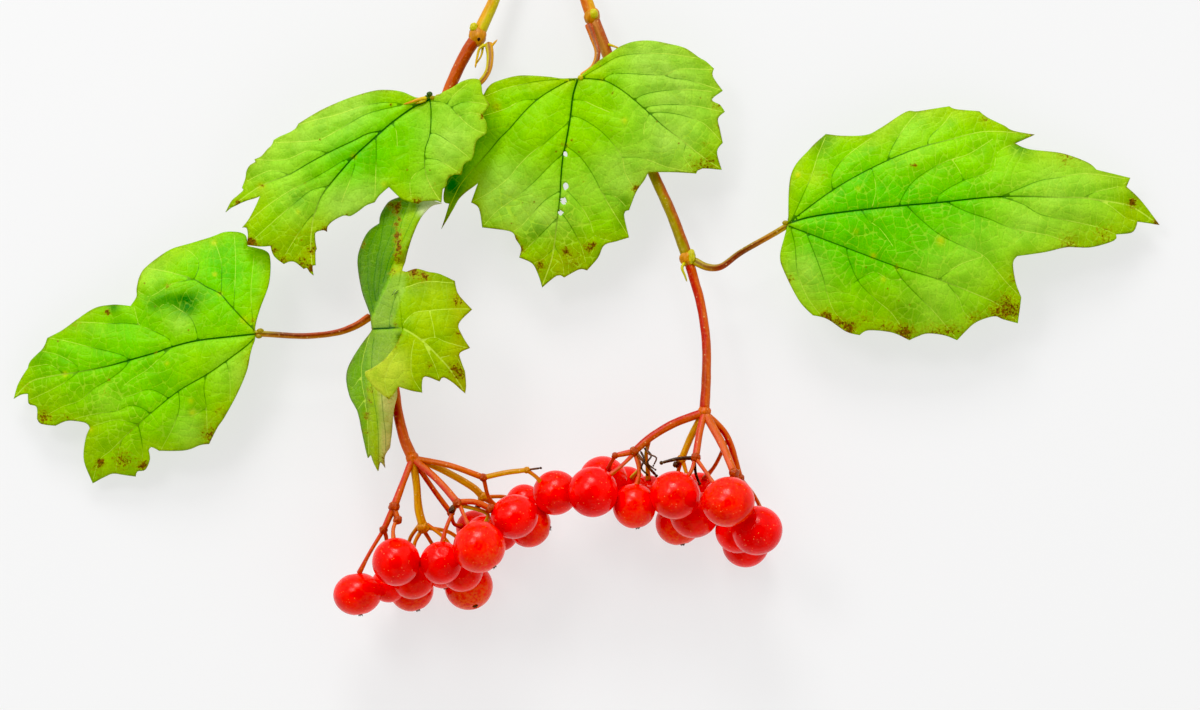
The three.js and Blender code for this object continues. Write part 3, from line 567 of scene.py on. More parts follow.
def within(points: np.ndarray, polygon: np.ndarray) -> np.ndarray:
    """Tells which points lie inside a closed polygon.

    Args:
        points: rows of x, y.
        polygon: the polygon's corners, in order.

    Returns:
        True or False for each point.
    """
    inside = np.zeros(len(points), bool)
    x, y = points.T
    for a, b in zip(polygon, np.roll(polygon, -1, axis=0)):
        crosses = (a[1] > y) != (b[1] > y)
        reach = a[0] + (y - a[1]) * (b[0] - a[0]) / (b[1] - a[1] if b[1] != a[1] else 1e-9)
        inside ^= crosses & (x < reach)
    return inside


class Rank(Enum):
    """The order of a vein: its width and depth at the start, how far it stays dark, and how dark."""

    MIDRIB = (0.22, 0.36, 0.9, 0.96)
    LATERAL = (0.14, 0.34, 0.85, 0.85)
    BRANCH = (0.09, 0.24, 0.65, 0.6)
    FINE = (0.08, 0.14, 0.35, 0.5)

    def __init__(self, width: float, depth: float, dark_share: float, darkness: float) -> None:
        """Names the rank's values.

        Args:
            width: half the width of the line that shows, mm.
            depth: the furrow's depth, mm.
            dark_share: the share of its length that shows as a dark furrow before it turns pale.
            darkness: how dark the furrow is, 0 to 1.
        """
        self.width, self.depth, self.dark_share, self.darkness = width, depth, dark_share, darkness


@dataclass(frozen=True)
class Vein:
    """One vein as it lies in the flat blade, from its root to its end."""

    rank: Rank
    points: Line
    dark: float | None = None  # the share that shows dark, where it isn't its rank's

    def line(self, step: float) -> np.ndarray:
        """The vein's smooth line, as points a step apart."""
        knots = np.array(self.points, float)
        return np.vstack([spline(knots, step), knots[-1:]])


NET_STEP = 0.2  # mm between the points of the small veins


@dataclass
class VeinMap:
    """Points of a blade's veins so far, sorted into cells, so that a growing vein can tell what it meets."""

    cell: float = 0.8
    cells: dict[tuple[int, int], list[tuple[float, float, int]]] = field(default_factory=dict)

    def add(self, line: np.ndarray, owner: int) -> None:
        """Adds a vein's points under its number."""
        for x, y in line.tolist():
            self.cells.setdefault((int(x // self.cell), int(y // self.cell)), []).append((x, y, owner))

    def nearest(self, x: float, y: float, reach: float, but: int) -> tuple[float, float] | None:
        """Finds the nearest point of any vein but one.

        Args:
            x: the place's x, mm.
            y: the place's y, mm.
            reach: how far to look, mm, no more than a cell.
            but: the number of the vein to leave out.

        Returns:
            The point, or None where there is none within reach.
        """
        column, row = int(x // self.cell), int(y // self.cell)
        best, found = reach, None
        for i in (column - 1, column, column + 1):
            for j in (row - 1, row, row + 1):
                for px, py, owner in self.cells.get((i, j), ()):
                    if owner != but and (away := math.hypot(px - x, py - y)) < best:
                        best, found = away, (px, py)
        return found

    def grow(
        self, start: np.ndarray, heading: float, owner: int, longest: float, rng: random.Random
    ) -> np.ndarray | None:
        """Grows one small vein sideways off a bigger one, until it meets another.

        Args:
            start: where it leaves its parent.
            heading: the direction in which it sets out, in radians.
            owner: its parent's number.
            longest: how far it may run, mm.
            rng: draws its bends.

        Returns:
            Its points, or None where another vein already runs beside it.
        """
        x, y = start
        if self.nearest(x + 0.8 * math.cos(heading), y + 0.8 * math.sin(heading), 0.7, owner):
            return None
        points = [(x, y)]
        for number in range(int(longest / NET_STEP)):
            heading += rng.gauss(0, 0.09)
            x, y = x + NET_STEP * math.cos(heading), y + NET_STEP * math.sin(heading)
            points.append((x, y))
            met = self.nearest(x, y, 0.26, owner) if number > 2 else None
            if met:
                points.append(met)
                break
        return np.array(points)


HOLE_LENGTH = 1.25  # the length of an insect's hole over its width


@dataclass(frozen=True)
class Patch:
    """A soft round patch on a blade."""

    x: float
    y: float
    reach: float
    strength: float = 1.0

    def weight(self, points: np.ndarray) -> np.ndarray:
        """How strongly the patch covers each point."""
        away = (points[:, 0] - self.x) ** 2 + (points[:, 1] - self.y) ** 2
        return self.strength * np.exp(-away / self.reach**2)

    def holds(self, point: np.ndarray) -> bool:
        """Tells whether a point lies in the hole that the patch stands for, which is longer than wide."""
        wide, long = (point - (self.x, self.y)) / (self.reach, HOLE_LENGTH * self.reach)
        return wide**2 + long**2 < 0.98


@dataclass(frozen=True)
class Arch:
    """Height of an arched blade over its base, mm: it climbs, sags and curls down to its sides."""

    heading: float
    pitch: float
    sag: float
    cup: tuple[float, float]
    dents: Sequence[tuple[float, float, float, float]]

    def __call__(self, points: np.ndarray) -> np.ndarray:
        """Works out the height of the sheet.

        Args:
            points: plan points of the flat blade.

        Returns:
            The height at each point, mm.
        """
        turn = math.radians(self.heading)
        along = points[:, 0] * math.cos(turn) + points[:, 1] * math.sin(turn)
        across = points[:, 1] * math.cos(turn) - points[:, 0] * math.sin(turn)
        height = self.pitch * along - self.sag * along**2
        height = height - np.where(across > 0, self.cup[0], self.cup[1]) * across**2
        for x, y, reach, rise in self.dents:
            height += Patch(x, y, reach, rise).weight(points)
        return height


Palette = dict[str, Sequence[Patch]]

# The tissue's colours, laid over each other in this order: its own tones, with painted sheen and painted shade
# among them
TISSUE = {
    "vivid": "#5fc800",
    # painted sheen: a paler greyish green where the blade faces the light
    "painted_sheen": "#a9d84a",
    "olive": "#97b806",
    # painted shade: dark green in dents, hollows and shaded parts of the blade
    "dark_tone_and_shade": "#0a7a02",
    "gold": "#d8d820",
}
TISSUE_BASE = "#8fd204"
TISSUE_EDGE = "#a0c60a"


@dataclass
class Leaf:
    """One open blade with its margin, veins and patches."""

    name: str
    base: Point
    height: Callable[[np.ndarray], np.ndarray]
    outline: Sequence[Line]
    veins: Sequence[Vein]
    patches: Palette
    blight: Sequence[Patch]
    holes: Sequence[Patch] = ()
    net: Sequence[Patch] = ()  # where the finest veins show more
    net_level: float = 0.36
    branch_dark: float = 1.0  # how much of the rank's dark share the lesser veins have
    pale_veins: float = 0.65  # how clearly the pale stretches of the veins show
    seed: int = 1
    thickness: float = 0.32  # mm
    spacing: float = 0.42  # mm between the mesh's points
    quilting: float = 0.4  # mm that the blade swells between its veins
    net_depth: float = 0.08  # mm that the small veins are sunk
    calm_rim: float = 1.2  # mm along the margin in which the furrows and swellings fade
    slope_step: float = 0.05  # mm over which the slope is measured
    ripple: float = 0.15  # mm of unevenness

    @property
    def node(self) -> str:
        """The CAD node that the blade stands for."""
        return f"leaf_{self.name}"

    def margins(self) -> list[np.ndarray]:
        """The closed margins of the blade's sheets."""
        return [margin_line(self.outline, self.spacing)]

    def sheet_height(self, points: np.ndarray, sheet: int) -> np.ndarray:
        """The height of one sheet at each plan point."""
        return self.height(points)

    def sheet_veins(self, sheet: int) -> Sequence[Vein]:
        """The veins that run over one sheet."""
        return self.veins

    def grow_net(self, veins: Sequence[Vein], margin: np.ndarray) -> list[np.ndarray]:
        """Grows the net of small veins between the bigger ones, in two generations.

        Args:
            veins: the bigger veins.
            margin: the sheet's closed margin.

        Returns:
            The points of each small vein, cut off at the margin.
        """
        rng = random.Random(self.seed)
        known = VeinMap()
        young = list(enumerate(vein.line(NET_STEP) for vein in veins))
        for owner, line in young:
            known.add(line, owner)
        grown: list[np.ndarray] = []
        for gap, longest in ((2.1, 11.0), (2.1, 4.0)):
            fresh = []
            for owner, line in young:
                for side in (1, -1):
                    place = rng.uniform(0.4, gap)
                    while place / NET_STEP < len(line) - 2:
                        start = int(place / NET_STEP)
                        place += gap * rng.uniform(0.75, 1.3)
                        ahead = line[start + 1] - line[start]
                        heading = math.atan2(ahead[1], ahead[0]) + side * (math.pi / 2 - rng.uniform(-0.1, 0.35))
                        new = known.grow(line[start], heading, owner, longest, rng)
                        if new is not None:
                            number = len(veins) + len(grown) + len(fresh)
                            known.add(new, number)
                            fresh.append((number, new))
            grown += [line for _, line in fresh]
            young = fresh
        inside = within(np.vstack(grown), margin)
        cut, first = [], 0
        for line in grown:
            kept = inside[first : first + len(line)]
            first += len(line)
            stop = len(line) if kept.all() else int(np.argmin(kept))
            if stop > 2:
                cut.append(line[:stop])
        return cut

    @staticmethod
    def net_gap(points: np.ndarray, net: Sequence[np.ndarray]) -> np.ndarray:
        """Measures how far points are from the net of small veins.

        Args:
            points: rows of x, y.
            net: the points of each small vein.

        Returns:
            Each point's distance to the nearest small vein, mm.
        """
        quarters = (0, 0.25, 0.5, 0.75)
        dense = np.vstack([line[:-1] + share * np.diff(line, axis=0) for line in net for share in quarters])
        tree = KDTree(len(dense))
        for number, (x, y) in enumerate(dense.tolist()):
            tree.insert((x, y, 0), number)
        tree.balance()
        return np.array([tree.find((x, y, 0))[2] for x, y in points.tolist()])

    def sheet_points(self, veins: Sequence[Vein], margin: np.ndarray, net: Sequence[np.ndarray]) -> np.ndarray:
        """Chooses the points inside one margin: along the veins, round the holes and on a staggered grid.

        Args:
            veins: the sheet's veins.
            margin: the sheet's closed margin.
            net: the points of the small veins.

        Returns:
            The points, none closer to another than about half the spacing.
        """
        rim = KDTree(len(margin))
        for number, point in enumerate(margin):
            rim.insert((*point, 0), number)
        rim.balance()
        pace = max(1, round(self.spacing * 0.85 / NET_STEP))
        candidates = [vein.line(self.spacing * 0.8) for vein in veins] + [line[::pace] for line in net]
        turn = np.linspace(0, 2 * math.pi, 14, endpoint=False)
        for hole in self.holes:
            x, y = hole.x + hole.reach * np.cos(turn), hole.y + hole.reach * HOLE_LENGTH * np.sin(turn)
            candidates.append(np.stack([x, y], 1))
        low, high = margin.min(0), margin.max(0)
        for number, y in enumerate(np.arange(low[1], high[1], self.spacing * 0.87)):
            x = np.arange(low[0] + (number % 2) * self.spacing / 2, high[0], self.spacing)
            candidates.append(np.stack([x, np.full(len(x), y)], 1))
        points = np.vstack(candidates)
        reach = self.spacing * 0.6
        chosen, taken = [], VeinMap(reach)
        for x, y in points[within(points, margin)].tolist():
            if rim.find((x, y, 0))[2] >= reach and not taken.nearest(x, y, reach, but=-1):
                taken.add(np.array([[x, y]]), 0)
                chosen.append((x, y))
        return np.array(chosen)

    def dark_share(self, vein: Vein) -> float:
        """The share of a vein's length that shows as a dark furrow.

        Args:
            vein: one of the blade's veins.

        Returns:
            The share, 0 to 1.
        """
        if vein.dark is not None:
            return vein.dark
        return vein.rank.dark_share * (self.branch_dark if vein.rank in (Rank.BRANCH, Rank.FINE) else 1.0)

    def relief(self, points: np.ndarray, veins: Sequence[Vein]) -> tuple[np.ndarray, dict[str, np.ndarray]]:
        """Works out the furrows and swellings, and how strongly each kind of vein shows.

        Args:
            points: plan points of the flat blade.
            veins: the sheet's veins.

        Returns:
            The rise along the surface's own direction, mm, and the vein attributes.
        """
        rise = np.zeros(len(points))
        ratio = np.full(len(points), 6.0)
        dark = np.zeros(len(points))
        pale = np.zeros(len(points))
        nearest = np.full(len(points), np.inf)
        for vein in veins:
            gap, along = measure_to(points, vein.line(1.2))
            width = vein.rank.width * (1 - 0.4 * along)
            furrow = 0.28 + vein.rank.width * (1 - 0.5 * along)
            rise -= vein.rank.depth * (1 - 0.6 * along) * np.exp(-((gap / furrow) ** 2))
            nearer = gap / width < ratio
            ratio[nearer] = (gap / width)[nearer]
            share = self.dark_share(vein)
            shaded = 1 - smooth(along, share * 0.55, share) if share else along * 0
            dark[nearer] = (vein.rank.darkness * shaded)[nearer]
            pale[nearer] = (self.pale_veins * (1 - shaded))[nearer]
            nearest = np.minimum(nearest, gap if vein.rank is not Rank.FINE else gap + 0.5)
        rise += self.quilting * (1 - np.exp(-((nearest / 2.0) ** 2)))
        rise += self.ripple * rough_field(points, 4.5, self.seed)
        rise += 0.4 * self.ripple * rough_field(points, 1.6, self.seed + 40)
        return rise, {"vein_ratio": ratio, "vein_dark": dark, "vein_pale": pale}

    def edge_distance(self, points: np.ndarray, margin: np.ndarray) -> np.ndarray:
        """Each point's distance to the blade's margin, mm."""
        return measure_to(points, np.vstack([margin, margin[:1]]))[0]

    def tissue(self, points: np.ndarray, edge: np.ndarray, sheet: int) -> np.ndarray:
        """Colours the tissue between the veins, with patches of painted sheen and painted shade among its own
        tones.

        Args:
            points: plan points of the flat blade.
            edge: each point's distance to the margin, mm.
            sheet: the number of the blade's sheet that they lie on.

        Returns:
            Linear colours, one row for each point.
        """
        colour = np.tile(linear(TISSUE_BASE), (len(points), 1))
        wander = 1.5 * rough_field(points, 5.0, self.seed + 9)
        colour = painted(colour, TISSUE_EDGE, 0.75 * (1 - smooth(edge + wander, 0.3, 4.0)))
        # the pale greyish-green patches are painted sheen and the dark green ones painted shade; the rest are the
        # tissue's own tones
        for kind, code in TISSUE.items():
            spots = self.patches.get(kind, ())
            if not len(spots):
                continue
            cover = np.clip(sum(spot.weight(points) for spot in spots), 0, 1)
            cover = cover * (1 + 0.3 * rough_field(points, 3.5, self.seed + 21))
            colour = painted(colour, code, np.clip(cover, 0, 1))
        return colour

    def build(self, finishes: Sequence[bpy.types.Material]) -> bpy.types.Object:
        """Builds the blade.

        A blade is a flat outline with points set along its veins, which no mesh operator lays out,
        so its sheet comes from a triangulation of those points. Solidify then gives its thickness.

        Args:
            finishes: the upper and the under finish.

        Returns:
            The blade's piece.
        """
        bm = bmesh.new()
        names = ("vein_ratio", "vein_dark", "vein_pale", "net_gap", "blight", "rim", "net")
        layers = {name: bm.verts.layers.float.new(name) for name in names}
        tissue_layer = bm.verts.layers.float_color.new("tissue")
        plan = bm.loops.layers.uv.new("plan")
        for sheet, margin in enumerate(self.margins()):
            veins = self.sheet_veins(sheet)
            net = self.grow_net(veins, margin)
            flat = [Vector(p) for p in np.vstack([margin, self.sheet_points(veins, margin, net)])]
            corners, _, triangles, *_ = delaunay_2d_cdt(flat, [], [list(range(len(margin)))], 1, 1e-4)
            points = np.array([tuple(c) for c in corners])
            rise, values = self.relief(points, veins)
            values["net_gap"] = self.net_gap(points, net)
            rise -= self.net_depth * np.exp(-((values["net_gap"] / 0.25) ** 2))
            edge = self.edge_distance(points, margin)
            rise *= 0.35 + 0.65 * smooth(edge, 0.0, self.calm_rim)
            values["rim"] = self.rim(points, edge)
            blight = sum((spot.weight(points) for spot in self.blight), np.zeros(len(points)))
            values["blight"] = np.clip(blight, 0, 1.3)
            values["net"] = sum((spot.weight(points) for spot in self.net), np.full(len(points), self.net_level))
            colour = self.tissue(points, edge, sheet)
            height = self.sheet_height(points, sheet)
            step = self.slope_step
            slope_x = (self.sheet_height(points + [step, 0], sheet) - height) / step
            slope_y = (self.sheet_height(points + [0, step], sheet) - height) / step
            normal = np.stack([-slope_x, -slope_y, np.ones(len(points))], 1)
            normal /= np.linalg.norm(normal, axis=1)[:, None]
            lifted = np.column_stack([points, height]) + normal * (rise + self.thickness / 2)[:, None]
            placed = in_part(lifted + np.array(self.base))
            made = []
            for row, (co, where) in enumerate(zip(placed, points)):
                vert = bm.verts.new(co)
                for name, layer in layers.items():
                    vert[layer] = float(values[name][row])
                vert[tissue_layer] = tuple(colour[row])
                made.append((vert, where))
            for triangle in triangles:
                centre = points[list(triangle)].mean(0)
                if any(hole.holds(centre) for hole in self.holes):
                    continue
                face = bm.faces.new([made[i][0] for i in triangle])
                for loop, i in zip(face.loops, triangle):
                    loop[plan].uv = made[i][1]
        loose = [vert for vert in bm.verts if not vert.link_faces]
        bmesh.ops.delete(bm, geom=loose, context="VERTS")
        bmesh.ops.remove_doubles(bm, verts=bm.verts, dist=0.01 * MM)
        bm.normal_update()
        for face in bm.faces:
            if face.normal.z < 0:
                face.normal_flip()
        bmesh.ops.solidify(bm, geom=bm.faces[:], thickness=self.thickness * MM)
        bm.normal_update()
        for face in bm.faces:
            face.material_index = 1 if face.normal.z < 0 else 0
        return finish_piece(bm, f"{self.name}_blade", finishes, self.node)

    def rim(self, points: np.ndarray, edge: np.ndarray) -> np.ndarray:
        """How strongly the dried brown line along the margin shows at each point."""
        broken = smooth(rough_field(points, 3.0, self.seed + 60), -0.35, 0.35)
        return np.exp(-((edge / 0.3) ** 2)) * (0.15 + 0.65 * broken)


@dataclass
class FoldedLeaf(Leaf):
    """The leaf whose middle lobe bends over to face up, while its side lobes hang up and down the page."""

    middle_outline: Sequence[Line] = ()
    side_veins: Sequence[Vein] = ()

    def sheet_veins(self, sheet: int) -> Sequence[Vein]:
        """The veins of the side lobes, sheet 0, or of the middle lobe, sheet 1, with the midrib on both."""
        return (self.veins[0], *self.side_veins) if sheet == 0 else self.veins

    @staticmethod
    def climb(x: np.ndarray, y: np.ndarray) -> np.ndarray:
        """The steep rise from the leaf's base towards the crease."""
        easing = np.where(y > 0, 1.3 * smooth(y, 9, 25), 0.8 * smooth(-y, 6, 26))
        return x * (1.88 - easing)

    def steep(self, x: np.ndarray, y: np.ndarray) -> np.ndarray:
        """The steep part with the droop of its two ends."""
        droop = 0.035 * np.maximum(0, y - 11) ** 2 + 0.016 * np.maximum(0, -y - 8) ** 2
        return self.climb(x, y) - droop

    @staticmethod
    def facing(x: np.ndarray, y: np.ndarray) -> np.ndarray:
        """The middle lobe, which faces up."""
        return 11.2 - 0.1 * (x - 6) - 0.02 * (y + 1) ** 2 - 0.02 * np.maximum(0, x - 8) ** 2

    @staticmethod
    def upper_ridge(y: np.ndarray) -> np.ndarray:
        """Where the upper side lobe folds back."""
        return 4.1 + 0.63 * (y - 12.9)

    def sheet_height(self, points: np.ndarray, sheet: int) -> np.ndarray:
        """The height of the side lobes, sheet 0, or of the middle lobe, sheet 1.

        Args:
            points: plan points of the flat blade.
            sheet: the sheet's number.

        Returns:
            The height at each point, mm.
        """
        x, y = points.T
        steep, middle = self.steep(x, y), self.facing(x, y)
        crest = middle.copy()
        if sheet == 0:
            for ridge, share in (
                (self.upper_ridge(y), smooth(y, 10.5, 14)),
                (np.full(len(y), 1.8), smooth(-y, 6, 10)),
            ):
                back = self.steep(ridge, y) - 0.9 * (x - ridge)
                crest = crest * (1 - share) + back * share
        reach = 3.0
        rounding = np.maximum(0, reach - np.abs(steep - crest)) ** 2 / (4 * reach)
        joined = np.minimum(steep, crest) - rounding
        if sheet == 1:
            free = smooth(-y, 0.6, 3.4)
            joined = joined * (1 - free) + middle * free
        else:
            joined = joined - 1.6 * smooth(x, 4.6, 6.2) * smooth(-y, 0.4, 2.2)
        return joined

    def margins(self) -> list[np.ndarray]:
        """The margins of the side lobes and of the middle lobe, which share the crease."""
        return [margin_line(self.outline, self.spacing), margin_line(self.middle_outline, self.spacing)]

    def edge_distance(self, points: np.ndarray, margin: np.ndarray) -> np.ndarray:
        """Each point's distance to the margin, mm. The crease isn't part of the margin.

        Args:
            points: rows of x, y.
            margin: the sheet's closed margin.

        Returns:
            The distances, and a large one beside the crease.
        """
        gap = super().edge_distance(points, margin)
        to_crease, _ = measure_to(points, np.array(CREASE, float))
        return np.where(to_crease < gap + 0.3, 9.0, gap)

    def tissue(self, points: np.ndarray, edge: np.ndarray, sheet: int) -> np.ndarray:
        """Paints light and shade into each lobe by the way it faces: painted shade on the steep sides, painted
        sheen over the folds.

        Args:
            points: plan points of the flat blade.
            edge: each point's distance to the margin, mm.
            sheet: the sheet's number.

        Returns:
            Linear colours, one row for each point.
        """
        colour = super().tissue(points, edge, sheet)
        x, y = points.T
        ridge = np.interp(y, [0, 2.2, 6.3, 10.3, 13.7, 17, 20, 23, 26], [-0.6, 0, 2, 4.05, 5.0, 5.4, 5.6, 6.4, 8])
        bound = 4.05 + 0.352 * np.clip(y, 0, 8)  # the vein that the pale triangle ends at
        up, right = smooth(y, -0.6, 0.2), smooth(x - bound, -0.2, 0.5)
        # Light and shade are painted here by the way each part faces: the dark greens are painted shade on steep
        # and turned-away slopes, the pale yellow-greens painted sheen where folds face the light, and the
        # near-white patch by the upper tip a painted highlight on the rolled edge.
        layers = [
            ("#5a8f03", smooth(ridge - x, -0.3, 0.6) * up),
            ("#93b83c", 0.85 * smooth(x - ridge, 0.0, 0.6) * (1 - right) * up * (1 - smooth(y, 10.0, 12.5))),
            ("#80a60c", 0.75 * smooth(x - ridge, -0.9, 0.9) * smooth(y, 10.5, 13.0)),
            ("#b4bc22", 0.8 * smooth(x - ridge, 0.4, 1.1) * smooth(y, 10.0, 11.5) * (1 - smooth(y, 13.5, 16.0))),
            ("#e4e8bc", 0.85 * smooth(x, 8.4, 10.6) * smooth(y, 21.5, 23.5)),
            ("#93ba0e", 0.8 * right * up * (1 - smooth(y, 10.5, 12.0))),
        ]
        if sheet == 1:
            layers += [
                ("#a5c412", 0.85 * np.maximum(smooth(x, 6.5, 11.0), smooth(-y, 0.0, 2.0))),
                ("#cade3c", 0.95 * smooth(-y, 2.5, 5.5) * (1 - smooth(x, 5.5, 9.0))),
                ("#a8b010", 0.75 * smooth(x, 13.5, 18.0)),
                ("#7f9c06", 0.75 * smooth(y, 5.5, 9.5) * smooth(x, 6.0, 8.0)),
            ]
        else:
            low, far_down = smooth(-y, -0.2, 0.8), smooth(-y, 8.0, 13.0)
            layers += [
                ("#6a9c10", 0.8 * low * (1 - smooth(x, -1.2, 0.0))),
                ("#8fb43a", 0.8 * low * smooth(x, -1.2, 0.0) * (1 - far_down)),
                ("#a6b616", 0.65 * far_down * smooth(x, -2.0, 0.0)),
                ("#d4d678", 0.9 * far_down * smooth(x, 0.8, 2.4)),
            ]
        for code, cover in layers:
            colour = painted(colour, code, cover)
        return colour


def read_patches(text: str) -> list[Patch]:
    """Reads patches from their x, y, reach and strength."""
    return [Patch(*numbers) for numbers in read_points(text)]


def read_veins(text: str) -> list[Vein]:
    """Reads veins, with a semicolon between them.

    Args:
        text: each vein's rank, the share of it that shows dark where it has its own, and its points.

    Returns:
        The veins.
    """
    veins = []
    for part in text.split(";"):
        rank, *words = part.split()
        dark = None if "," in words[0] else float(words.pop(0))
        veins.append(Vein(Rank[rank], read_points(" ".join(words)), dark))
    return veins


# The leaves, in millimetres from each blade's own base

RIGHT_LEAF = Leaf(
    name="right",
    base=(37.6, 26.2, 13),
    seed=3,
    height=Arch(
        heading=0,
        pitch=0.12,
        sag=0.0032,
        cup=(0.008, 0.009),
        dents=((30, 13, 8, 0.9), (28, -12, 8, 0.8), (56, 6, 7, 0.8), (45, 17, 6, -0.8), (58, -3, 5, -0.6)),
    ),
    outline=read_lines("""
        0.6,9.8 4.4,15 7.6,18; 11,17.6 15.6,17.8 18.6,19.2 23.6,22.4 26.2,22.6 32.4,23.6; 33.8,23 38.4,22.6; 40,21.4
        43.4,19.8 45.2,18.8 49.6,18; 48.2,17.4 45.6,16.2; 48.4,15 55,14.2 60.2,12.4 62,11; 69,9.4; 68.2,7.6;
        71.2,4.8 75,0; 72.2,0.4 70.4,0.6; 70.2,-0.2 69.2,-1.6 66,-2; 65.6,-3.2 60.8,-4.6 56,-4.6 51.4,-5.6
        45.8,-6.4; 45,-7.8 45.6,-11.6 46.8,-14.6; 46.2,-19.8; 43.2,-19 41.2,-18.4 37.4,-19.8 34,-23.2; 31.4,-22.2
        28,-21.8 25.6,-22.6 24.4,-23.2; 20.8,-21.6 16.2,-21.2 14.4,-22.2; 11.6,-21.4 8,-19 5,-18.2; 2.2,-15.2
        -0.8,-9.4 -1.6,-6.4 -0.8,-2.8 0,0
    """),
    veins=read_veins("""
        MIDRIB 0,0.1 4.5,1.4 12.1,2.5 22.3,3.6 29.5,4.2 42.5,5.5 54,5.4 59.1,5.3 67.8,4.1 70.3,3.1 74.6,0.2;
        LATERAL 0.4,0.5 8.8,6.7 16.7,11.2 24.9,14.8 32,16.8 39.7,18.6 48.8,18.1;
        LATERAL 0.2,-0.5 4,-1.9 13.2,-5.4 21.8,-8.6 30,-11.1 37.1,-13.8 42.2,-16.1 45.9,-19.3;
        BRANCH 0.7,0.8 3,5.9 4.5,9.2 6,13.8 7.5,17.3;
        BRANCH 8.8,6.7 8.8,9.7 10.6,12.5 13.2,14.8 16.7,17.2;
        BRANCH 19.8,12.7 20.8,15.3 23.4,19.4 25.9,22.2;
        BRANCH 27.7,15.5 28.5,17.6 31,19.9 33.1,22.6;
        BRANCH 22.1,3.6 22.9,5.6 24.9,8.4 28,10.7 32,12.7 36.1,14 41,17;
        BRANCH 29.6,4.3 30.5,6.1 35.1,8.7 40.7,10.7 42,14.3 45,16;
        BRANCH 42.5,5.5 46.3,7.1 50.4,8.7 54,9.3 60.1,10.2 68,9.2;
        FINE 59.1,5.3 62.1,6.6 66.7,7.7 68.3,8.6;
        FINE 14.7,2.6 16.2,0.5 18.3,-1 21,-4.6;
        BRANCH 23.9,3.3 26.9,0.5 30,-2 34.1,-4.1 38.7,-6.1 41.2,-8.7 43.8,-11.7 46.5,-14.4;
        BRANCH 32,4.1 36.1,2.3 40.2,1 43.8,-0.5 47.9,-1.5 52.4,-2.3 57.6,-4.1;
        BRANCH 42.5,5.4 46.8,4.1 50.4,2 55,1 62.1,-0.5 65.7,-1.9;
        FINE 60.1,5.2 64.2,4.1 67.8,1.5 70.2,0.6;
        BRANCH 11.6,-4.8 12.1,-7.1 14.2,-11.7 17.8,-15.3 20.8,-17.9 24.3,-22.9;
        BRANCH 21.3,-8.7 22.9,-11.2 25.9,-14.3 29,-17.3 33.9,-22.9;
        FINE 30,-11.1 34.1,-8.2 38.7,-6.6;
        FINE 32,-12.2 34.1,-14.8 35.1,-17.3 36.6,-18.9;
        BRANCH 3.6,-1.8 5.5,-6.6 7,-10.7 7.8,-13.8 9.6,-17.9 14.2,-22;
        BRANCH 0.5,-0.8 1.4,-4.6 1.9,-9.7 4,-14.8 6.6,-18.2;
        FINE 13.2,-11.7 17,-9.6 20,-11 22.9,-11.2;
        FINE 35.1,8.7 34,11 32.6,13;
        FINE 16.7,11.2 17.5,7 16.7,3.2
    """),
    patches={
        "vivid": read_patches("13,0,10,1 25,1,9,1 36,3,9,0.7 19,-7,6,0.5 8,-4,7,0.6 14,9,6,0.3"),
        # painted sheen where the blade faces the light
        "painted_sheen": read_patches("""
            57,6,10,0.55 28,-16,9,0.3 5,-12,6,0.3 36,-7,8,0.3 47,1,7,0.3 24,19,6,0.2 3,-9,4,0.4
        """),
        "olive": read_patches("70,3,5,0.9 44,-16,6,0.6 20,-20,7,0.4 60,-3,5,0.5"),
        # painted shade in dents and hollows and where the blade lies in shade
        "dark_tone_and_shade": read_patches("18,1,9,0.13 23,-17,3.2,0.35 7,16.8,2.6,0.6 47,15.6,2.2,0.75 69.5,5.5,1.8,0.4"),
        "gold": read_patches("""
            5,9.5,2.2,0.35 30.4,-3.4,0.9,0.8 17,-6.4,0.5,1 21.8,-8.9,0.4,0.9 19,-11,0.5,0.5 14,7,0.5,0.5
            13.5,-1.5,0.5,0.5 2,9.8,0.5,1
        """),
    },
    blight=read_patches("""
        7.6,-18.3,1.5,0.85 10,-19.6,1.3,0.7 12.4,-20.8,1.7,0.9 15.5,-18.6,2,0.45 23.6,-21.6,2,0.9
        19.5,-20.8,2.2,0.55 28.5,-21.4,2.2,0.5 37.6,-18.9,2,0.55 34.6,-21.8,2,0.35 31.5,-21.6,1.8,0.4
        42.6,-18.2,1.8,0.45 33,-20.6,1.8,0.25 45.4,-17.4,2.4,0.65 43.6,-14.6,2.2,0.45 41,-17.2,1.6,0.4
        56.4,-4.2,3,0.55 63.5,-2,2.8,0.55 69.4,4.4,1.2,1 25.2,11.7,0.8,0.8 55.6,13.6,2.4,0.55 39.4,20.8,1.2,0.5
        49,18.1,1,0.9 0.4,-11,1.3,0.6 45.2,-10.8,1.2,0.6 74.4,0.2,1.2,1 7.2,9.6,1.6,0.3 21.5,-8.4,0.6,0.5
    """),
)

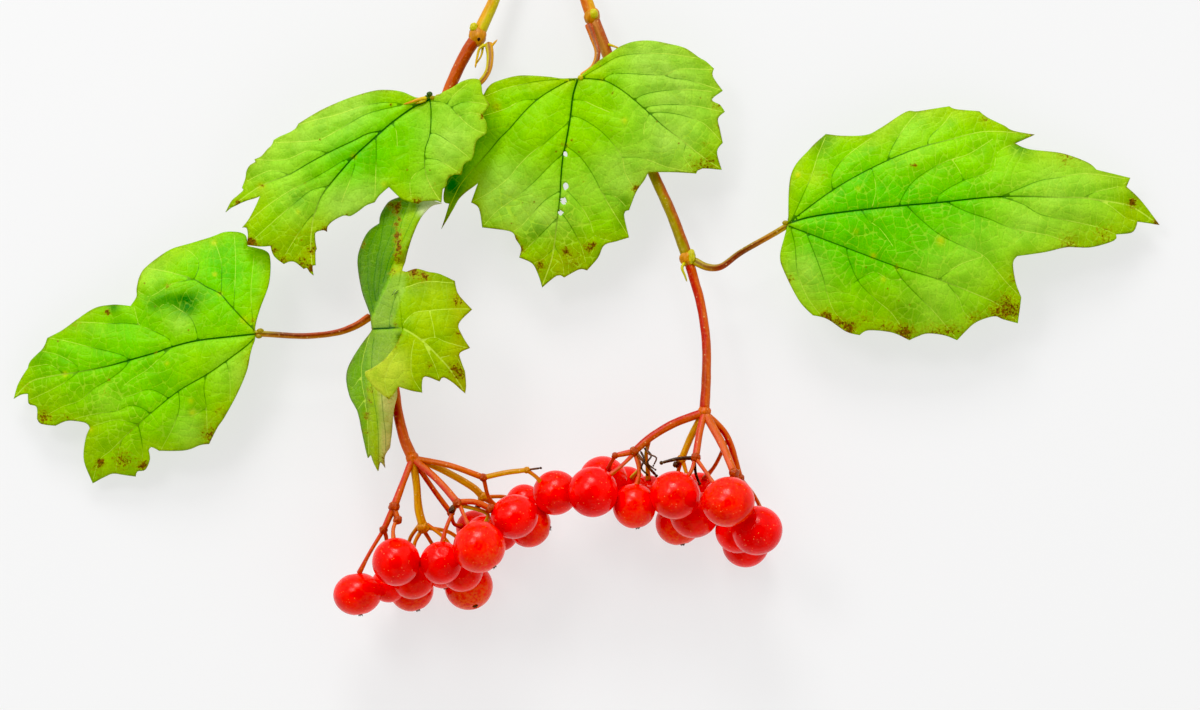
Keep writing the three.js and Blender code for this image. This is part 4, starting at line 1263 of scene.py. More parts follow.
FAR_LEFT_LEAF = Leaf(
    name="far_left",
    base=(-68.8, 4.4, 13),
    seed=5,
    net_level=0.22,
    net=read_patches("-26,-18,10,0.3 -36,-12,9,0.15"),
    branch_dark=0.95,
    pale_veins=0.5,
    height=Arch(
        heading=195,
        pitch=0.05,
        sag=0.0045,
        cup=(0.012, 0.012),
        dents=((-14.2, 6.6, 2.5, -0.8), (-18, 10, 7, 0.8), (-20, -18, 7, 0.8), (-36, -6, 8, 0.7)),
    ),
    outline=read_lines("""
        -0.2,1 0.8,4.6 2.6,9.8 2.8,14.6 1.8,16.4 -1.8,17.4; -2.2,19.4 -3.8,20.2 -6.4,20.2 -8.8,19.4 -12.4,18.2
        -16.6,17 -19.6,15.2 -22.6,12.8 -23.6,10.8; -24,8.8 -24,7.2 -25.2,5.4; -27.2,5.6 -29.2,5.6 -32.4,5 -36,2.8
        -39,0.6 -42.2,-1; -43,-3 -45.6,-5.6 -46.2,-7; -48.2,-10.2 -49.2,-13.2; -47.8,-12.4 -46.2,-12.2; -46,-14.2
        -44.4,-14.8 -44.4,-17.2; -43.6,-18.2 -40.6,-18.6; -38,-17.6 -34.4,-18 -33.6,-19; -34.4,-20.8 -35,-24
        -34.8,-26.4 -33.4,-30.2; -30.8,-28.8 -29.2,-28.2 -27.2,-28.4 -24.6,-28.8; -24.2,-27.8 -22.6,-27.4
        -21.6,-25.4 -21.8,-23.6; -21.2,-22.8 -19.6,-23.6; -14.4,-23.4 -11.4,-22.4 -9.6,-22.2; -7.8,-18.8 -6.4,-16.8
        -3.8,-12.2 -1.8,-7.6 -1,-4 -0.2,-1.2 0,0
    """),
    veins=read_veins("""
        MIDRIB 0,-0.2 -4.8,-0.7 -11.6,-1.5 -16.9,-2.8 -20,-3.9 -25.3,-5.4 -30.1,-6.7 -35.9,-7.8 -42.3,-8.8
            -45.9,-9.9 -48.9,-12.8;
        LATERAL -0.3,0.6 -3,3.3 -5.5,6 -7.2,7.9 -9.8,9.2 -12.5,10.8 -15.5,11.7 -18.4,12.4 -22,13;
        LATERAL -0.3,-1 -1.9,-2.6 -5.9,-5.6 -9.8,-8.3 -15.5,-11.6 -21.2,-16.1 -26.2,-20.4 -29.4,-23.5 -31.9,-25.6
            -33.3,-29.4;
        BRANCH -7,7.9 -6.9,10.8 -7.1,14.4 -8.4,18 -9.3,19;
        BRANCH -12.5,10.8 -11.6,13 -11.9,14.9 -13.7,16.5 -14.8,17.1;
        FINE -4.4,5.2 -4.2,10.6 -4.2,15.5 -4.6,19.6;
        FINE -0.5,1.2 -1,8.3 -0.5,15.5 -0.8,17;
        BRANCH -11.6,-1.5 -11.8,0.1 -13,3 -15.5,4.8 -17.6,6 -19.4,5.1;
        FINE -12.5,10.8 -16.9,9.8 -19.8,8 -21.6,7.3 -23.8,8.4;
        BRANCH -16.9,-2.8 -17.3,-1.3 -19.8,0.1 -21.9,1 -23.4,1.7 -24.1,3.7 -24.5,5.4;
        BRANCH -23.4,1.7 -26.2,2 -29.8,1.9 -32.6,2.1 -36.4,2.2;
        BRANCH -25.3,-5.4 -26.6,-4.5 -29.8,-3.6 -33.4,-2.8 -36.9,-1.9 -39.8,-1.3 -42,-1;
        FINE -35.9,-7.8 -35.9,-6.7 -38,-5.3 -40.5,-4.2 -43.4,-3.6;
        FINE -38.7,-8.2 -40.5,-6.9 -42.3,-6.3 -46,-6.9;
        FINE -16.9,-2.9 -19.1,-4.9 -21.9,-7.4 -24.8,-9.2 -26.6,-10.6;
        BRANCH -25.3,-5.6 -26.9,-7.4 -29.8,-9.5 -32.6,-11.1 -35.5,-13.5 -39.4,-14.9 -44,-17.4;
        FINE -35.9,-7.9 -38,-9.5 -41.2,-11.3 -45.9,-13.4;
        BRANCH -17.6,-13 -19.8,-11.7 -21.9,-11.3 -24.8,-12.4 -26.9,-13.1 -28,-15.6;
        BRANCH -21.2,-16.1 -23,-14.9 -25.5,-14.5 -28,-15.6 -31.2,-16 -35.5,-16.9 -40.2,-18.4;
        FINE -23.7,-18.3 -26.2,-17.6 -28.7,-17.4 -33,-18.6;
        BRANCH -9.8,-8.3 -10.4,-11 -10,-15 -9.9,-21.6;
        BRANCH -15.5,-11.6 -15.4,-15 -16.8,-19 -19.2,-23.3;
        FINE -5.9,-5.6 -5.2,-9 -5.2,-13.6;
        BRANCH -23.7,-18.5 -23.2,-21.4 -23,-24.4 -24.2,-28.2;
        FINE -27,-21 -28,-24.4 -28.6,-27.8;
        FINE -10,-15 -13,-16.6 -15.7,-16.6
    """),
    patches={
        "vivid": read_patches("""
            -6,13,8,0.85 -8,3,5,0.3 -27,-1,10,0.65 -39,-8,8,0.6 -21,-12,7,0.35 -14,-16,6,0.2
        """),
        # painted sheen where the blade faces the light
        "painted_sheen": read_patches("-15,2.6,2.6,0.55 -4,-8,5,0.4 -13,-19,4,0.45 -21,12,3,0.4 -30,-14,4,0.25"),
        "olive": read_patches("-42,-14,7,0.5 -30,-24,6,0.5 -8,-17,5,0.35 -34,2,5,0.3"),
        # painted shade in dents and hollows and where the blade lies in shade
        "dark_tone_and_shade": read_patches("""
            -12.6,6.2,2.4,0.8 -15.4,6.2,2.2,0.75 -18.2,6.8,2.2,0.55 -20.6,5.6,2,0.45 -14,4.6,1.6,0.35
            -28.6,5.2,1.3,0.7 -43.4,-4.6,1.8,0.45 -19,-8.5,2.4,0.25
        """),
        "gold": read_patches("""
            -2.4,2.6,0.7,0.7 -8.6,18.1,0.5,0.9 -8.3,11.7,0.4,0.8 -38.5,-8.2,0.5,0.9 -17.7,-6,0.4,0.7
            -13,-13.5,0.5,0.6 -12.8,-15.8,0.6,0.6 -7.2,7.9,0.4,0.9 -33.4,-19.2,0.5,0.8
        """),
    },
    blight=read_patches("""
        -43,-16.8,2,0.7 -38.4,-17.2,1.8,0.45 -9.2,-20.4,2.4,0.7 -7.2,-15.4,1.6,0.5 -27,-25.4,2.6,0.65
        -31.6,-25.8,0.8,1 -22.8,-26.6,1.3,0.9 -1.6,-5.4,1.6,0.4 -29.9,4.1,0.7,1 -36.4,1.8,1.8,0.35 -17.6,9.4,0.6,0.7
        -32.5,-27.4,1.8,0.45 -46.6,-10.6,1.4,0.4 -30.4,-12,1.2,0.35 -15.2,6.2,0.25,1.2 -20,-3.9,0.4,0.8
        -29.5,-9.4,0.4,0.8 -0.6,2.6,0.5,0.9 -35,-20,1.6,0.4 -25.4,-19.4,0.5,0.6
    """),
)

UPPER_LEFT_LEAF = Leaf(
    name="upper_left",
    base=(-33.8, 51.4, 18.5),
    seed=8,
    net_level=0.15,
    net=read_patches("-32,-24,8,0.25 -25,-30,6,0.2"),
    branch_dark=0.9,
    pale_veins=0.7,
    height=Arch(
        heading=225,
        pitch=0.06,
        sag=0.004,
        cup=(0.004, 0.012),
        dents=((-20, -8, 8, 0.9), (-15, -18, 7, 0.7), (-30, -26, 7, 0.8), (4, -12, 6, 0.7)),
    ),
    outline=read_lines("""
        -2.6,-0.2 -5.4,0.9 -8,1.3 -10.8,1.2 -14.4,0.3 -18,-1 -22.2,-2.9 -26.3,-5.3; -26.8,-6.2 -28,-7 -30,-7.8
        -31.3,-8.5; -31.7,-9.5 -32.6,-10.4 -33.8,-11.7 -35.2,-12.3; -35,-12.8 -36.1,-13.5 -36.8,-14.7 -37,-16
        -37.7,-18; -37.4,-18.4 -38.6,-19.5 -39.9,-20.6 -41.1,-22.8; -40,-21.9 -37.6,-20.8 -35.1,-20.1 -34,-19.7;
        -34.9,-21.7 -36.3,-24.2 -37.7,-25.9; -36.8,-26 -36.5,-27.2 -36.6,-28.4 -36.7,-29.4; -34.1,-29.7 -31.9,-29.6;
        -31.6,-30.9 -30.9,-32 -29.3,-33.2; -28.1,-32.7 -26.9,-32.9 -25.3,-34.2; -24.7,-34 -24.2,-34.8 -23.4,-35.5;
        -23.6,-33.7 -23,-33.5; -23,-30.9 -22.7,-30.3; -23,-28.5 -23,-27.2; -22.6,-26.8 -21.3,-26.5 -20.6,-26.8;
        -20.5,-25.9 -19.4,-24.7 -17.2,-23.6 -15.9,-23.7 -14.2,-22.7 -12.7,-21.6 -11,-21; -10.3,-19.9 -9.4,-19
        -8.2,-18; -7.5,-18.7 -6,-20.1 -4.8,-20.7 -2.3,-21.3; -1.5,-20.8 1.1,-20.7 2.2,-21.1; 2.3,-20.2 2.5,-18.4;
        3.2,-17.7 3.4,-16.7 3.9,-16 4.8,-15.5 6.2,-15.5; 6.4,-14.7 6.6,-13.7 7.3,-13 8.2,-12.7; 8.7,-11.4 8.9,-10
        9.4,-8.6 11.2,-7.3; 11.3,-5.6 10.9,-4.5 10.4,-3.7; 10.8,-3.1 11.9,-1.6; 11.1,-0.4 10.4,0.7 10.2,2.2 9.8,3.3
        9,3.6 7.6,3.5 6,2.9 4.5,1.9 2.7,1 1.5,0.3 0,0
    """),
    veins=read_veins("""
        MIDRIB 0,-0.5 -3.3,-2.1 -7.5,-5.1 -10.7,-7.9 -15.1,-11.9 -17,-14 -20.2,-17.7 -21.8,-20 -22.8,-22.5 -23.5,-25
            -23.9,-29.5 -23.6,-34.6;
        LATERAL -9.8,-6.8 -12.5,-7.4 -15.3,-8.8 -20.2,-11.1 -24.4,-13.3 -28.2,-15.4 -32.1,-16.8 -34.9,-18.2
            -38.4,-20.6 -40.7,-22.2;
        LATERAL 0,-0.7 0.2,-3.2 0,-7.4 -0.9,-10.2 -1.1,-12.6 -0.9,-15.1 0.2,-17.9 2,-20.7;
        BRANCH -15.1,-11.9 -17.4,-12.8 -20.5,-14.7 -24.4,-16.8 -27.2,-18.2 -29.6,-19.6 -32.8,-21.8 -37.3,-25.5;
        BRANCH -20.2,-17.7 -23.7,-18.6 -26.5,-20.7 -30.7,-24.2 -36.2,-29;
        BRANCH -22.6,-22.5 -25.1,-25.3 -28.9,-31.2 -29.3,-32.6;
        BRANCH -15.1,-12.1 -15,-13.7 -16,-16.8 -17,-19.3 -17.7,-21.1;
        BRANCH -10.7,-8.1 -10.7,-11.2 -10.8,-15.4 -11,-20;
        BRANCH -0.9,-0.9 -4.4,-1.6 -8.2,-1.1 -13.2,-1.8 -18.4,-3.5 -23,-4.6 -26,-5.5;
        BRANCH -5.8,-1.8 -8.9,-2.4 -13.2,-3.7 -18.1,-6.5 -22.3,-8.6 -27.2,-8.9 -31,-9;
        BRANCH 0.2,-7.3 1.2,-7.4 3,-8.4 5.4,-10.2 7.5,-11.9 8,-12.5;
        BRANCH -0.9,-12.3 1.6,-12.6 4,-14 6,-15.3;
        FINE -0.9,-14 -3,-15.4 -4,-17.2 -3.7,-20.6;
        BRANCH 0.7,-0.9 3.3,-1.4 5.4,-3.5 7.2,-5.3 9.3,-6.7 11,-7.3;
        BRANCH 4.6,-1.9 6.5,-1.1 8.9,-1.1 11.4,-1.6;
        FINE 5.8,-3.9 7.9,-3.2 10.2,-3.6;
        FINE 3.3,-1.4 5,0.6 7.4,2.6;
        FINE -7.4,-5.3 -6.7,-7 -6.5,-10;
        FINE -20.2,-11.1 -24,-10.6 -29,-12.4 -34.6,-12.4;
        FINE -28.2,-15.4 -32,-14.6 -36.6,-16.6
    """),
    patches={
        "vivid": read_patches("-10,-8,8,0.5 -15,-14,7,0.6 -3,-8,4,0.3 -21,-13,6,0.25"),
        # painted sheen where the blade faces the light
        "painted_sheen": read_patches("""
            -16,-1.6,5,0.7 -24,-6,6,0.6 -32,-12,6,0.45 -17.5,-22,4.6,0.95 -12,-19,3.4,0.5 5,-4,7,0.45 4,-10,5,0.6
            0,-18,4,0.5 -27,-19,4,0.3 -26,-24,4,0.35
        """),
        "olive": read_patches("-26,-30,5,0.8 -33,-27,5,0.4 -22,-25,2.4,0.4"),
        # painted shade in dents and hollows and where the blade lies in shade
        "dark_tone_and_shade": read_patches("-26.5,-20.4,1.8,0.45 -35.6,-14.6,1.6,0.3 -31,-26,1.6,0.25"),
        "gold": read_patches("""
            -15.2,-11.9,0.5,0.9 -9.2,-17.4,0.5,0.4 -26.3,-22.9,0.4,0.6 -23.6,-31,1.6,0.4 -33.9,-17.7,0.9,0.6
        """),
    },
    blight=read_patches("""
        -36.2,-28.6,1,1.2 -34.6,-29.3,1.1,0.6 -31.4,-30.4,1.2,0.7 -29.4,-32.4,1.2,0.7 -25.6,-32.8,1.5,0.7
        -23.8,-34.2,1,0.9 -23.4,-30.6,1.2,0.7 -26,-28,2.6,0.35 -20.8,-26.4,1,1 -2.6,-20.8,1.2,0.8 0.8,-18,1.6,0.3
        10.4,-3.8,1,0.7 -33.7,-17.7,0.4,1.1 -25,-16.8,0.3,1.3 -38.6,-20.9,0.9,0.9 -7.8,-1.6,0.4,0.9 6,-15.1,0.7,0.7
        -22,-8.6,0.3,0.9 -16.4,-23.4,0.9,0.5 -37,-16.4,0.8,0.4
    """),
)

MIDDLE_LEAF = Leaf(
    name="middle",
    base=(-4.2, 55.2, 15),
    seed=11,
    net_level=0.2,
    net=read_patches("-3,-33,8,0.75 24,-13,7,0.3 -16,-26,5,0.3"),
    branch_dark=1.1,
    pale_veins=0.75,
    height=Arch(
        heading=260,
        pitch=0.02,
        sag=0.005,
        cup=(0.0075, 0.0075),
        dents=((-18, -14, 4, -1.2), (-8, -12, 6, 0.7), (10, -12, 7, 0.8), (-2, -28, 6, 0.6), (22, -4, 6, -0.6)),
    ),
    outline=read_lines("""
        0.8,0.8 3.6,3.2 6.2,5 8.2,6.4 11,7.4 14.4,7.6 18,7 21.2,6.2 24,4.4 25.4,3.6 27,2.2; 26.8,0.6 28.8,-2.2;
        26.6,-4 28.2,-5 29.2,-6.4; 27.8,-7.8 28.2,-10 28.8,-12.6; 27.6,-14.4 28.6,-18; 24.4,-17.8 23.4,-18.8;
        19.2,-18.6 13.8,-18.6; 13,-20.2 11.4,-22.6 10,-26.2; 9,-27 10,-31.6; 7.4,-32.4 5,-33.2 3.8,-35.6 1.6,-38.2;
        0,-38 -3,-39.6; -4.4,-39.2 -7.4,-41.6; -8.2,-39 -9.4,-36.8 -12,-35.6; -11.6,-33.8 -12.6,-32 -13.8,-30.4
        -19.4,-29.6; -20,-25.8 -21.6,-24.6; -20.2,-20.8; -23.6,-23.4 -25.2,-25.8 -27.6,-29.8; -26,-24.8; -27,-24.4
        -27,-22.2 -25.8,-17.2; -24.6,-14.4 -23.2,-11.2 -22.6,-8.6; -21,-6.6 -19.4,-3.8 -18.4,-2; -17.4,-1 -15.4,-0.2
        -11.8,0.6 -6.8,0.4 -3.8,0 0,0
    """),
    veins=read_veins("""
        MIDRIB -0.3,-0.4 -1.2,-3.5 -1.7,-7.6 -2.5,-12.4 -3.2,-15.7 -3.6,-19.8 -3.8,-23.5 -4.3,-27.6 -4.9,-32.7
            -5.6,-36.4 -7.3,-41;
        LATERAL 0.7,0 4.4,-0.3 6.6,-1.1 9.9,-3.3 14,-6.8 16.6,-9.2 21.4,-12.8 24.7,-15.4 28.2,-17.7;
        LATERAL -0.4,-0.1 -2.3,-0.6 -5.6,-2.4 -8.2,-4.1 -10.8,-6.5 -13.9,-10 -16,-12 -17.6,-13.9 -20.8,-17.6
            -24.1,-21.6 -27,-28;
        BRANCH 0.7,0.3 4,2.2 7.7,4.3 12.1,5 17.7,5 24,4.2;
        BRANCH -1.9,-0.1 -6.7,-0.4 -10.1,-0.9 -14.9,-2 -18.8,-3.5;
        BRANCH 4.6,-0.3 6.6,0.9 9.5,1 16.6,0.8 20.3,2 26.6,2;
        BRANCH 16.6,0.8 19.2,0.1 22.1,-0.2 28.2,-2;
        BRANCH 11,-4.2 13.2,-3.1 16.6,-2.4 21.4,-2 26.6,-2.4;
        BRANCH 12.9,-5.9 14.7,-5.4 18.4,-5.1 23.2,-5.3 28.6,-6.4;
        BRANCH 14,-6.8 17.3,-6.7 21.4,-7.4 25.1,-8.9 28.4,-12.2;
        FINE 14,-7.2 13.2,-8.7 12.9,-10.9 13.2,-12.4;
        FINE 21.4,-12.8 21,-15.4 22.8,-18.2;
        FINE -1.2,-4.3 0.7,-4.4 3.6,-5.7 6.2,-6.8;
        BRANCH -1.6,-7.4 0.7,-8.1 4,-10.2 6.6,-12.8 8.6,-15.7 9.2,-18.7 11,-22;
        FINE 8.6,-15.7 12.1,-15.7 14.7,-16.5 17.7,-17.6 22.8,-18.6;
        BRANCH -2.5,-13.5 0.3,-15.7 2.9,-19.4 4.7,-22.9 7,-26.8 9.8,-31.2;
        FINE 4.9,-22.9 7.3,-23.5 9.2,-25.3 9.8,-26.5;
        FINE -2.3,-22.4 0.3,-25.3 2.1,-28.3 3.3,-31.3 6.6,-32.4;
        BRANCH -3.8,-26.5 -1.9,-29 0.3,-33.1 1.4,-36.8 1.6,-37.8;
        FINE -4.9,-33.1 -3.4,-36.4 -3,-39.2;
        FINE -2.3,-8.9 -4.1,-10.5 -7.1,-13.1 -9.7,-15 -12.3,-17.6 -14.1,-19.8 -17.5,-22.4 -21.2,-24.4;
        BRANCH -2.7,-14.6 -5.6,-17.2 -9.3,-20.9 -13,-23.9 -16.7,-26.6 -19.2,-29.4;
        BRANCH -3.8,-22.4 -6.7,-24.2 -9.3,-26.8 -11.2,-29 -13.4,-30.6;
        BRANCH -4.7,-28.1 -7.1,-30.5 -10.1,-33.5 -11.8,-35.3;
        FINE -8.2,-4.1 -11.5,-4.4 -14.9,-6.1 -21.4,-8;
        FINE -5.2,-34 -7.4,-36 -9.2,-36.8
    """),
    patches={
        "vivid": read_patches("-14,-20,4,0.3"),
        # painted sheen where the blade faces the light
        "painted_sheen": read_patches("""
            20,-3,9,0.8 14,5,6,0.75 18,-14,6,0.7 8,-20,6,0.7 -15,-23,7,0.95 -27,-10,5,0.5 -8,-28,4,0.6 -3,-29,4,0.4
            -2,-22,5,0.3
        """),
        "olive": read_patches("-5,-37,6,0.7 1,-35,4,0.5 26,-15,3,0.4 -20.6,-24.8,1.6,0.5"),
        # painted shade in dents and hollows and where the blade lies in shade
        "dark_tone_and_shade": read_patches("""
            -20.6,-10.4,2.2,0.8 -22.6,-13.8,2.4,0.8 -24.2,-17.4,2.4,0.8 -25.6,-21.4,2.8,0.95 -19.4,-8,1.6,0.5
            -10,-31.8,1.6,0.4 -7.8,-30,1.6,0.4 8.9,-24.4,1.4,0.45 8.8,-26.6,1.5,0.4 8.2,-29,1.5,0.45
        """),
        "gold": read_patches("""
            -2.3,-0.5,0.4,0.8 4.6,-0.3,0.4,0.9 9,-8.4,0.5,0.7 -16.4,-5.6,0.9,0.6 -4,-38,2.4,0.3 -2.5,-13.4,0.4,0.8
        """),
    },
    blight=read_patches("""
        2.1,-33.5,1.2,0.8 3.1,-32.8,0.5,0.8 -2.7,-34.2,1,0.7 -7.8,-37.2,1.5,0.75 -1,-36.4,2.6,0.5 -11.8,-34,1,0.9
        27.6,-5,1.4,0.6 25.2,-12.8,1.2,0.4 23.4,-17.6,2.4,0.5 26.6,-16.8,2,0.5 11.4,-21.8,1,0.9 -12.8,-31.8,1,0.8
        -16.4,-5.6,0.8,0.5 -3.4,-13,0.5,0.6 -1.4,-12.4,0.4,0.8 6.6,-3,0.4,0.7 -27.2,-28.8,0.8,0.9 27,1.4,1,0.5
        28,-9,1.2,0.45 2.6,-38,1,0.6 0.8,-20.4,0.8,0.4
    """),
    holes=read_patches("-2.7,-21.5,0.62 -3.1,-24.4,0.6 -3.7,-26.8,0.42 -2.7,-15.1,0.4"),
)

CREASE = ((6.2, 11.4), (5.6, 8.4), (6, 5), (6.3, 0.2), (6.4, -0.6))

FOLDED_LEAF = FoldedLeaf(
    name="folded",
    base=(-45.4, 5.2, 16.5),
    seed=14,
    quilting=0.22,
    net_level=0.15,
    branch_dark=0.0,
    height=lambda points: points[:, 0] * 0,
    outline=(
        *read_lines("""
            -0.4,3 -2.2,7.8 -3,13.4 -2.2,16.8 -0.8,19.4 1.4,21; 1.6,22.8 3,25.2 4.4,26; 7.4,26.6 11,25.8 13.8,25;
            11.8,24.4 9.8,22.2 8,17.8 7,14.8 6.2,11.4
        """),
        CREASE[1:],
        *read_lines("""
            6.9,-1.6 7,-3 6.2,-5 5,-8 4.7,-10.4 4.8,-13.2 4.2,-16.2 3.8,-20.2 3.4,-23.6; 2.4,-25.4 2.4,-27.8;
            1.5,-26.6 1,-28.4; 0.2,-26.8 -0.4,-25.2 -1,-25.8; -1.4,-24.2 -2.2,-20.2 -3,-16.6 -4.8,-13.2 -5.4,-9.8
            -4.8,-7.2 -3,-4.2 -0.4,-0.8 0,0
        """),
    ),
    middle_outline=(
        *read_lines("""
            7,11.2 9,11.8 11.4,11.2 13.6,10.8 16.6,9.4; 16.8,8.2 17.4,6.6 20,3.8; 17.4,1 18,-1.2 19.6,-3.8;
            17.6,-4.8 17.8,-6.2 18.6,-8.4; 18.8,-11.2 18.6,-12.8; 16.4,-10.8 14.4,-9.6 13.6,-10.4; 10.8,-9.4
            10.2,-10.6 10.2,-12.6; 8,-12.2 5.5,-11.4; 4.7,-12.7 3.6,-13.9; 1.2,-12 -1,-9.2 -0.8,-8.4; 1.4,-7.2
            3.4,-5.5 5.4,-2.8 6.4,-0.6
        """),
        tuple(reversed(CREASE[:-1])),
    ),
    veins=read_veins("""
        MIDRIB 0.3 0.2,0 3,0.1 6.3,0 10.2,-2.3 14.3,-6.4 16.1,-8.6 18.4,-12.4;
        BRANCH 6.3,0.1 6.9,1.4 8.7,3.1 11.7,3.6 16.1,3.9 19.6,3.9;
        BRANCH 10.2,-2.3 12.8,-1.7 14.6,-2.5 17.6,-3.4 19.2,-3.8;
        BRANCH 6.5,8.1 7.6,8.4 10.2,9.2 13.1,9.3 16.3,9;
        FINE 14.2,-5.6 16.8,-5.4 18.2,-8.2;
        FINE 8.7,-2.3 8.1,-5.6 8.3,-9.3 10,-12.3;
        FINE 10.9,-3.4 12.8,-7.5 13.6,-10.2;
        FINE 5.4,-4.8 3.9,-7.1 2.9,-10.4 3.6,-13.4;
        FINE 11.7,3.6 12.4,0.6 12.8,-1.7
    """),
    side_veins=read_veins("""
        FINE 1.6 6.5,8.1 5,6.2 3.9,2.5 3.7,0;
        FINE 1.6 -0.4,2.5 -2,7 -2.5,11.4 -2.2,15.5 -0.9,18.8;
        FINE 1.6 0.4,3.3 -0.6,7.7 -0.9,12.1 -0.6,15.8 1.3,20.3;
        BRANCH 1.6 0.7,5.5 0.4,9.2 0.9,13.6 1.7,17.3 2.4,22.9;
        FINE 1.6 1.3,6.6 1.7,10.7 2.4,14.7 3.9,19.2 4.6,25.4;
        BRANCH 1.6 2.2,9.2 3.5,13.6 5,17.3 6.1,21.8 7.4,26;
        FINE 1.6 3.5,11.4 5.4,15.5 7.2,19.5 9.4,24.6;
        BRANCH -0.3,-0.8 -2,-5.6 -2.4,-9.3 -1.6,-14 -1,-19 -0.8,-25;
        FINE 1.6 0.4,-2 -0.2,-9.3 0.6,-14.9 1.2,-20.4 1.1,-27.8;
        FINE 1.6 1.7,-8 2.2,-16.7 2.6,-21.5 2.4,-27;
        FINE -2.4,-9.3 -3.4,-11 -4.6,-12;
        FINE -1.6,-14 -2.6,-15.6 -3,-16.2
    """),
    patches={
        "vivid": read_patches("11,4,6,0.35 -1,6,5,0.4 -3,-8,4,0.4"),
        # painted sheen where the blade faces the light
        "painted_sheen": read_patches("3,4,3,0.5 3,-3,3,0.5 3.6,-17,2.4,0.8 6.6,14,1.6,0.7"),
        "olive": read_patches("11,-1,9,0.6 15,-8,5,0.6 8,-8,5,0.4 1,-24,4,0.5 12,7,5,0.5"),
        "gold": read_patches("7,-6,4.5,0.5 4,-10,4,0.55 5,11.6,1.3,0.7"),
    },
    blight=read_patches("""
        8.4,11.2,1.4,0.9 10.8,10.2,1.2,0.8 17,5.4,1.6,0.72 17.6,-0.8,1.4,0.65 17.6,-9,1.8,0.7 16.4,-7.4,1.2,0.5
        11.6,-7.2,1.2,0.55 4.9,0.8,0.7,0.55 4.4,11.2,0.9,0.8 5.2,13.2,0.8,0.5 5.2,14.6,1.1,0.7 5.8,15.8,0.5,0.9
        5.4,17,1,0.85 5,18.4,0.6,0.95 5.9,19,0.8,0.65 4.9,20.6,0.9,0.8 5.5,21.9,0.5,0.8 4.7,23.4,1.1,0.75
        5.1,24.8,0.9,0.85 3.4,24.9,0.8,0.7 -0.2,-12.2,0.9,0.65 -0.5,-14.2,0.8,0.6 -1.1,-17.4,0.9,0.8
        -1.3,-20.6,1,0.5 5.2,-3.2,0.8,0.5 1.6,-25.8,1.6,0.5 3.4,-13.6,0.8,0.6 2.6,-18,0.8,0.45 -1.8,16.8,0.9,0.7
        0,22,0.8,0.6
    """),
)

LEAVES = (FAR_LEFT_LEAF, UPPER_LEFT_LEAF, MIDDLE_LEAF, FOLDED_LEAF, RIGHT_LEAF)


# Stalks


class Tone(Enum):
    """The skin colours of the shoots and stalks."""

    GREEN = "#978804"
    LIME = "#bdb812"
    YELLOW = "#d8a012"
    OCHRE = "#c4800e"
    ORANGE = "#cc5c0a"
    RUST = "#a83c06"
    RED = "#b81c04"
    SALMON = "#e0643a"
    PINK = "#cc3c28"
    BROWN = "#7a4212"
    DARK = "#3a1c0a"
    TAN = "#cc8844"
    GLAND = "#2f5208"


